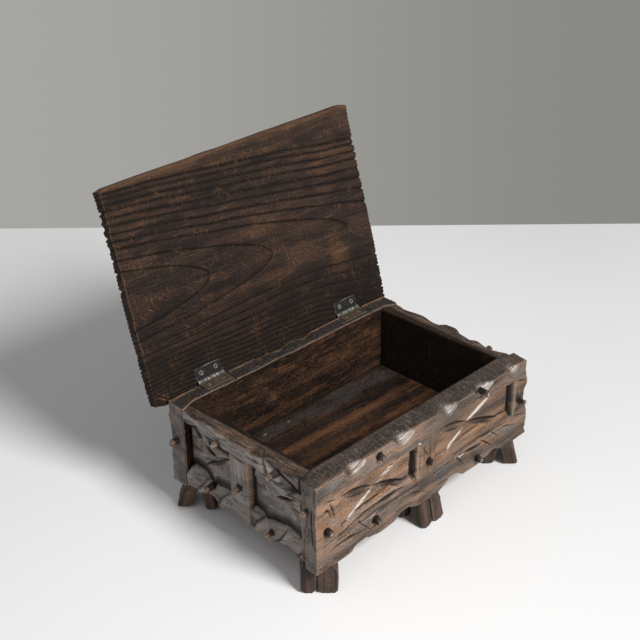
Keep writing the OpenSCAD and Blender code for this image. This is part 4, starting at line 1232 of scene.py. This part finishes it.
# The feet: their place across and front to back, their turn in degrees, and how much wider below than above
# each of their slats is.
FEET = {"front_left": (-1, -1, -45, (1.0, 6.0, 2, 2)), "front_middle": (0, -1, 0, (1.0, 3.0, 3, 2)),
        "front_right": (1, -1, 45, (4.0, 2.0, 3, 2)), "back_left": (-1, 1, -135, (2.0, -3.0, 2, 2)),
        "back_middle": (0, 1, 180, (2.0, 3.0, 2, 2)), "back_right": (1, 1, 135, (3.0, 4.0, 2, 2))}
SLATS = ("outer_left", "outer_right", "inner_left", "inner_right")
SLAT_HALF, SLAT_PLACE, FOOT_WIDE, FOOT_INSET = 5.5, 7.0, 25.0, 0.4


class CARVEDBOX_OT_feet(BoxOperator, bpy.types.Operator):
    """Build the splayed slats of the six feet"""
    bl_idname = "carved_box.feet"
    bl_label = "Feet"

    def execute(self, context):
        low, high = node_box("front_board")
        rise, half_width, ends = low[2], high[0], {-1: low[1], 1: node_box("back_board")[1][1]}
        for index, (foot, (east, north, turn, widths)) in enumerate(FEET.items()):
            # A corner foot stands diagonally, so it needs more room.
            inset = FOOT_INSET + FOOT_WIDE * (math.sqrt(0.5) if east else 0.5)
            start = (east * (half_width - inset), ends[north] - north * inset, rise)
            cos, sin = math.cos(math.radians(turn)), math.sin(math.radians(turn))
            for number, slat in enumerate(SLATS):
                seed = 700 + 13 * number + 5 * index
                outer, side = number < 2, (-1, 1)[number % 2]
                lean = math.tan(math.radians(14)) if outer else -math.tan(math.radians(9))
                splay = 0.13 if outer and foot == "back_left" else 0.0
                deeper = 3.2 if outer else 0.0
                square = lines(-SLAT_HALF, SLAT_HALF, 0.8)
                points, quads = block(square, square, lines(-1.5, rise, 0.95))
                a, b, down = points.T
                size = 1 / most((np.abs(a / SLAT_HALF) ** 10 + np.abs(b / SLAT_HALF) ** 10) ** 0.1, 0.8)
                foot_cut, lower = ease(rise - 3.4, rise, down), ease(0, 8, down)
                wave = 0.35 * waves(down / 9, a / 3 + b / 5, seed)
                wave = wave + 0.12 * waves(a * 1.2, b * 1.2 + down / 14, seed + 1)
                narrow = 1 - 0.45 * foot_cut * (np.abs(a) > 0.4 * SLAT_HALF)
                wander = 1.1 + 0.1 * waves(down / 14, b * 0, seed + 3, 1)
                widened = (a * side + SLAT_HALF) / (2 * SLAT_HALF) * widths[number] * lower * side
                by = widened + a * size * narrow * wander + wave
                out = b * size * (1 - 0.2 * foot_cut) + (lean + splay) * down + wave
                out = out - deeper * (SLAT_HALF - b) / (2 * SLAT_HALF) * lower
                level = SLAT_PLACE if outer else -SLAT_PLACE
                room = placed(np.stack([SLAT_PLACE * side + by, level + out, down], 1), start, (cos, sin, 0),
                              (sin, -cos, 0), (0, 0, -1))
                grain = np.stack([down, a + 40 * number, b], 1) + [5000 + 60 * index, 0, 0]
                heap = Heap().add(room, quads, grain, dark=0.25 + 0.2 * (side < 0), warm=0.25 * (number == 1),
                                  grey=0.5 * (foot_cut > 0.5))
                node = f"{foot}_foot_{slat}_slat"
                heap.piece(context, "split_" + node, "feet", node)
        return {"FINISHED"}


# The hinges. For each body: its leaf's node, how far the leaf reaches from the pin, how far from the pin its
# screws are, and the ends of its knuckles along the pin.
LEAVES = (("case", "_hinge_body_leaf", -15.0, -9.0, ((-16, -5.63), (5.63, 16))),
          ("lid", "_hinge_lid_leaf", 14.0, 8.5, ((-5.18, 5.18),)))
SCREW_PLACES = (-9, 9)
KNUCKLE = 2.4


def add_leaf(heap, at, wide, reach, screw_at, number, on_case):
    """A hinge's leaf: a plate with worn edges, sunk around its screws."""
    points, quads = block(lines(-wide / 2, wide / 2, 0.42), lines(min(reach, 0), max(reach, 0), 0.42),
                          np.array([0, 0.3, 0.65, 1.0]))
    u, v, w = points.T
    edge = np.minimum(wide / 2 - np.abs(u), np.abs(v - reach))
    from_screw = np.hypot(np.abs(u) - SCREW_PLACES[1], v - screw_at)
    face = (w > 1 - HAIR if on_case else w < HAIR) * 1.0
    dip = 0.3 * (1 - ease(0, 0.9, edge)) + 0.05 * waves(u / 4, v / 4, 801 + number)
    dip = dip + 0.5 * (1 - ease(1.6, 2.3, from_screw))
    level = w - dip * face - 1.0 if on_case else w + dip * face + LID_GAP
    scratch = ease(0.25, 0.5, waves((u + 0.6 * v) / 7, (v - 0.6 * u) / 0.5, 811 + number))
    bright = 0.6 * (1 - ease(0.25, 0.7, edge)) * ease(-0.3, 0.3, waves(u / 5, v / 5, 815))
    bright = bright + 0.4 * mound(2.3, 0.55, from_screw) + 0.3 * scratch
    dark = 0.8 * (1 - ease(1.7, 2.1, from_screw)) + 0.4 * mound(3.2, 0.9, from_screw)
    dark = dark + (0 if on_case else 0.6) * (1 - ease(2.4, 4.5, np.abs(v)))
    heap.add(at(u, v, level), quads, points + [60 * number, 0, 0], dark=face * dark,
             warm=0.8 if on_case else 0.0, pale=unit(face * bright) * (0.1 if on_case else 1))


def add_knuckle(heap, at, left, right, number):
    """One knuckle of a hinge, rounded at both ends."""
    start = ((0, 0.03), (0, 1.9), (0.25, 2.3), (0.6, KNUCKLE))
    profile = [(left + x, radius) for x, radius in start]
    profile += [(x, KNUCKLE) for x in np.linspace(left + 1.5, right - 1.5, 6)]
    points, quads = turned(profile + [(right - x, radius) for x, radius in reversed(start)])
    u, v, w = points.T
    heap.add(at(u, v, w), quads, points + [60 * number, 30, 0],
             pale=0.04 + 0.22 * ease(0, 0.5, waves(u / 3, v / 3, 817)),
             dark=0.8 * (1 - ease(0.1, 0.5, np.minimum(u - left, right - u))))


def add_screw(heap, at, x, screw_at, number, on_case):
    """A countersunk head with a slot that stopped at its own angle."""
    head = [(0.02 - 0.05 * radius * radius, radius) for radius in (1.75, 1.5, 1.2, 0.9, 0.6, 0.3, 0.03)]
    points, quads = turned([(-0.9, 1.7), (-0.25, 1.9)] + head, 40)
    h, a, b = points.T
    tilt = 0.7 + 1.3 * number + 0.9 * (x > 0)
    slot = (np.abs(a * math.sin(tilt) + b * math.cos(tilt)) < 0.36) * (h > -0.3)
    rise = h - 0.55 * slot
    room, flipped = at(x + a, screw_at + b, rise if on_case else LID_GAP - rise)
    heap.add((room, flipped == on_case), quads, np.stack([a, b, h], 1) + [80 * number + 9 * x, 60, 0],
             pale=(0.1 if on_case else 0.4) * (1 - slot) * ease(0.6, 1.6, np.hypot(a, b)), dark=0.95 * slot,
             warm=0.9 * on_case)


class CARVEDBOX_OT_hinges(BoxOperator, bpy.types.Operator):
    """Build the leaves, pins and slotted screws of the two hinges"""
    bl_idname = "carved_box.hinges"
    bl_label = "Hinges"

    def execute(self, context):
        axes = {"case": ((0, 1, 0), (0, 0, 1)), "lid": lid_axes()}
        screws = {"case": Heap(), "lid": Heap()}
        for number, side in enumerate(SIDES):
            low, high = node_box(side + "_hinge_pin")
            for body, leaf, reach, screw_at, knuckles in LEAVES:
                def at(u, v, w, body=body):
                    return placed(np.stack([u, v, w], 1), (low + high) / 2, (1, 0, 0), *axes[body])
                heap = Heap()
                add_leaf(heap, at, high[0] - low[0], reach, screw_at, number, body == "case")
                for left, right in knuckles:
                    add_knuckle(heap, at, left, right, number)
                heap.piece(context, f"worn_{side}{leaf}", "iron", side + leaf, body)
                for x in SCREW_PLACES:
                    add_screw(screws[body], at, x, screw_at, number, body == "case")
            start = ((-16, 0.03), (-16, 1.0), (-15.8, PIN_RADIUS))
            points, quads = turned([*start, *((x, PIN_RADIUS) for x in np.linspace(-15, 15, 9)),
                                    *((-x, radius) for x, radius in reversed(start))])
            room = placed(points, (low + high) / 2, (1, 0, 0), *axes["case"])
            heap = Heap().add(room, quads, points + [60 * number, 50, 0], pale=0.2)
            heap.piece(context, f"worn_{side}_hinge_pin", "iron", side + "_hinge_pin")
        screws["case"].piece(context, "slotted_body_screws", "iron", "body_hinge_screws")
        screws["lid"].piece(context, "slotted_lid_screws", "iron", "lid_hinge_screws", "lid")
        return {"FINISHED"}


class CARVEDBOX_OT_stage(BoxOperator, bpy.types.Operator):
    """Set up the table, the lamps and the camera"""
    bl_idname = "carved_box.stage"
    bl_label = "Stage"

    def execute(self, context):
        scene = context.scene
        # The camera, in metres and directions, as solved from the photograph's right-angled edges.
        eye = Vector((-0.6578, -0.6455, 0.6615))
        forward = Vector((0.62291, 0.62394, -0.47189)).normalized()
        right = Vector((0.70505, -0.70913, -0.00694)).normalized()
        above = right.cross(forward).normalized()
        data = bpy.data.cameras.new("camera")
        data.lens, data.sensor_width, data.clip_end = 61.64, 36, 50
        camera = bpy.data.objects.new("camera", data)
        camera.matrix_world = Matrix((*zip(right, above, -forward, eye), (0, 0, 0, 1)))
        # The table ends behind the box, along a line square to the photograph's view.
        level = Vector((forward.x, forward.y, 0)).normalized()
        aside = Vector((level.y, -level.x, 0))
        table_end, wide = 0.6175, 4
        corners = [level * far + aside * to_side for far, to_side in (
            (table_end, wide), (table_end, -wide), (-wide, -wide), (-wide, wide))]
        mesh = bpy.data.meshes.new("table")
        mesh.from_pydata([tuple(corner) for corner in corners], [], [(0, 1, 2, 3)])
        table = bpy.data.objects.new("table", mesh)
        cloth, tree, shader = new_material("table_top", 0.2)
        # The table is painted darker towards the view's right, as painted falloff of the lamp's light.
        off_side = put(tree, "ShaderNodeTexCoord", None, None, "Object").along(aside)
        colour = mixed(tree, (0.85, 0.845, 0.84), (0.73, 0.728, 0.725), off_side.rising(0.0, 0.42))
        colour.into(shader, "Base Color")
        shader.inputs["Roughness"].default_value = 0.75
        mesh.materials.append(cloth)
        # A large soft lamp from the camera's right and above.
        light = bpy.data.lights.new("key", "AREA")
        light.shape, light.size, light.energy = "DISK", 1.0, 91
        lamp = bpy.data.objects.new("key", light)
        towards = Vector((0.051, -0.735, 0.676)).normalized()
        lamp.location = towards * 2.8 + Vector((0, 0, 0.08))
        lamp.rotation_euler = towards.to_track_quat("Z", "Y").to_euler()
        for thing in (camera, table, lamp):
            scene.collection.objects.link(thing)
        scene.camera = camera
        # A dim room around with a window's light. The camera and mirrors see a plain grey wall in its place.
        scene.world = bpy.data.worlds.new("room")
        scene.world.use_nodes = True
        tree = scene.world.node_tree
        direction = put(tree, "ShaderNodeTexCoord", None, None, "Generated")
        wall = mixed(tree, ink(166, 165, 161), ink(138, 137, 133), direction.along(aside).rising(-0.28, 0.28))
        camera_ray, glossy_ray, clear_ray = (put(tree, "ShaderNodeLightPath", None, None, f"Is {kind} Ray")
                                             for kind in ("Camera", "Glossy", "Transmission"))
        seen = camera_ray + glossy_ray + clear_ray
        window = direction.along(Vector((-0.8, 0.15, 0.58)).normalized())
        room = mixed(tree, (0.190, 0.188, 0.185), (0.60, 0.604, 0.618), window.rising(0.42, 1.05))
        mixed(tree, room, wall, seen.maths("MINIMUM", seen, 1.0)).into(tree.nodes["Background"], "Color")
        scene.view_settings.view_transform = "Standard"
        return {"FINISHED"}


STEPS = (CARVEDBOX_OT_stage, CARVEDBOX_OT_front_board, CARVEDBOX_OT_back_board, CARVEDBOX_OT_side_boards,
         CARVEDBOX_OT_linings, CARVEDBOX_OT_floor_boards, CARVEDBOX_OT_lid, CARVEDBOX_OT_pegs,
         CARVEDBOX_OT_feet, CARVEDBOX_OT_hinges)


class CARVEDBOX_PT_panel(bpy.types.Panel):
    """The box's steps and settings"""
    bl_idname = "CARVEDBOX_PT_panel"
    bl_label = "Carved Box"
    bl_space_type = "VIEW_3D"
    bl_region_type = "UI"
    bl_category = "Carved Box"

    def draw(self, context):
        for step in STEPS:
            self.layout.operator(step.bl_idname)
        for group in (context.scene.carved_box_sizes, context.scene.carved_box_colours):
            for key in group.__annotations__:
                self.layout.prop(group, key)


CLASSES = (CarvedBoxSizes, CarvedBoxColours, *STEPS, CARVEDBOX_PT_panel)


def register():
    for kind in CLASSES:
        bpy.utils.register_class(kind)
    bpy.types.Scene.carved_box_sizes = bpy.props.PointerProperty(type=CarvedBoxSizes)
    bpy.types.Scene.carved_box_colours = bpy.props.PointerProperty(type=CarvedBoxColours)


def unregister():
    del bpy.types.Scene.carved_box_sizes
    del bpy.types.Scene.carved_box_colours
    for kind in reversed(CLASSES):
        bpy.utils.unregister_class(kind)


def main():
    register()
    for step in STEPS:
        group, name = step.bl_idname.split(".")
        getattr(getattr(bpy.ops, group), name)()


if __name__ == "__main__":
    main()
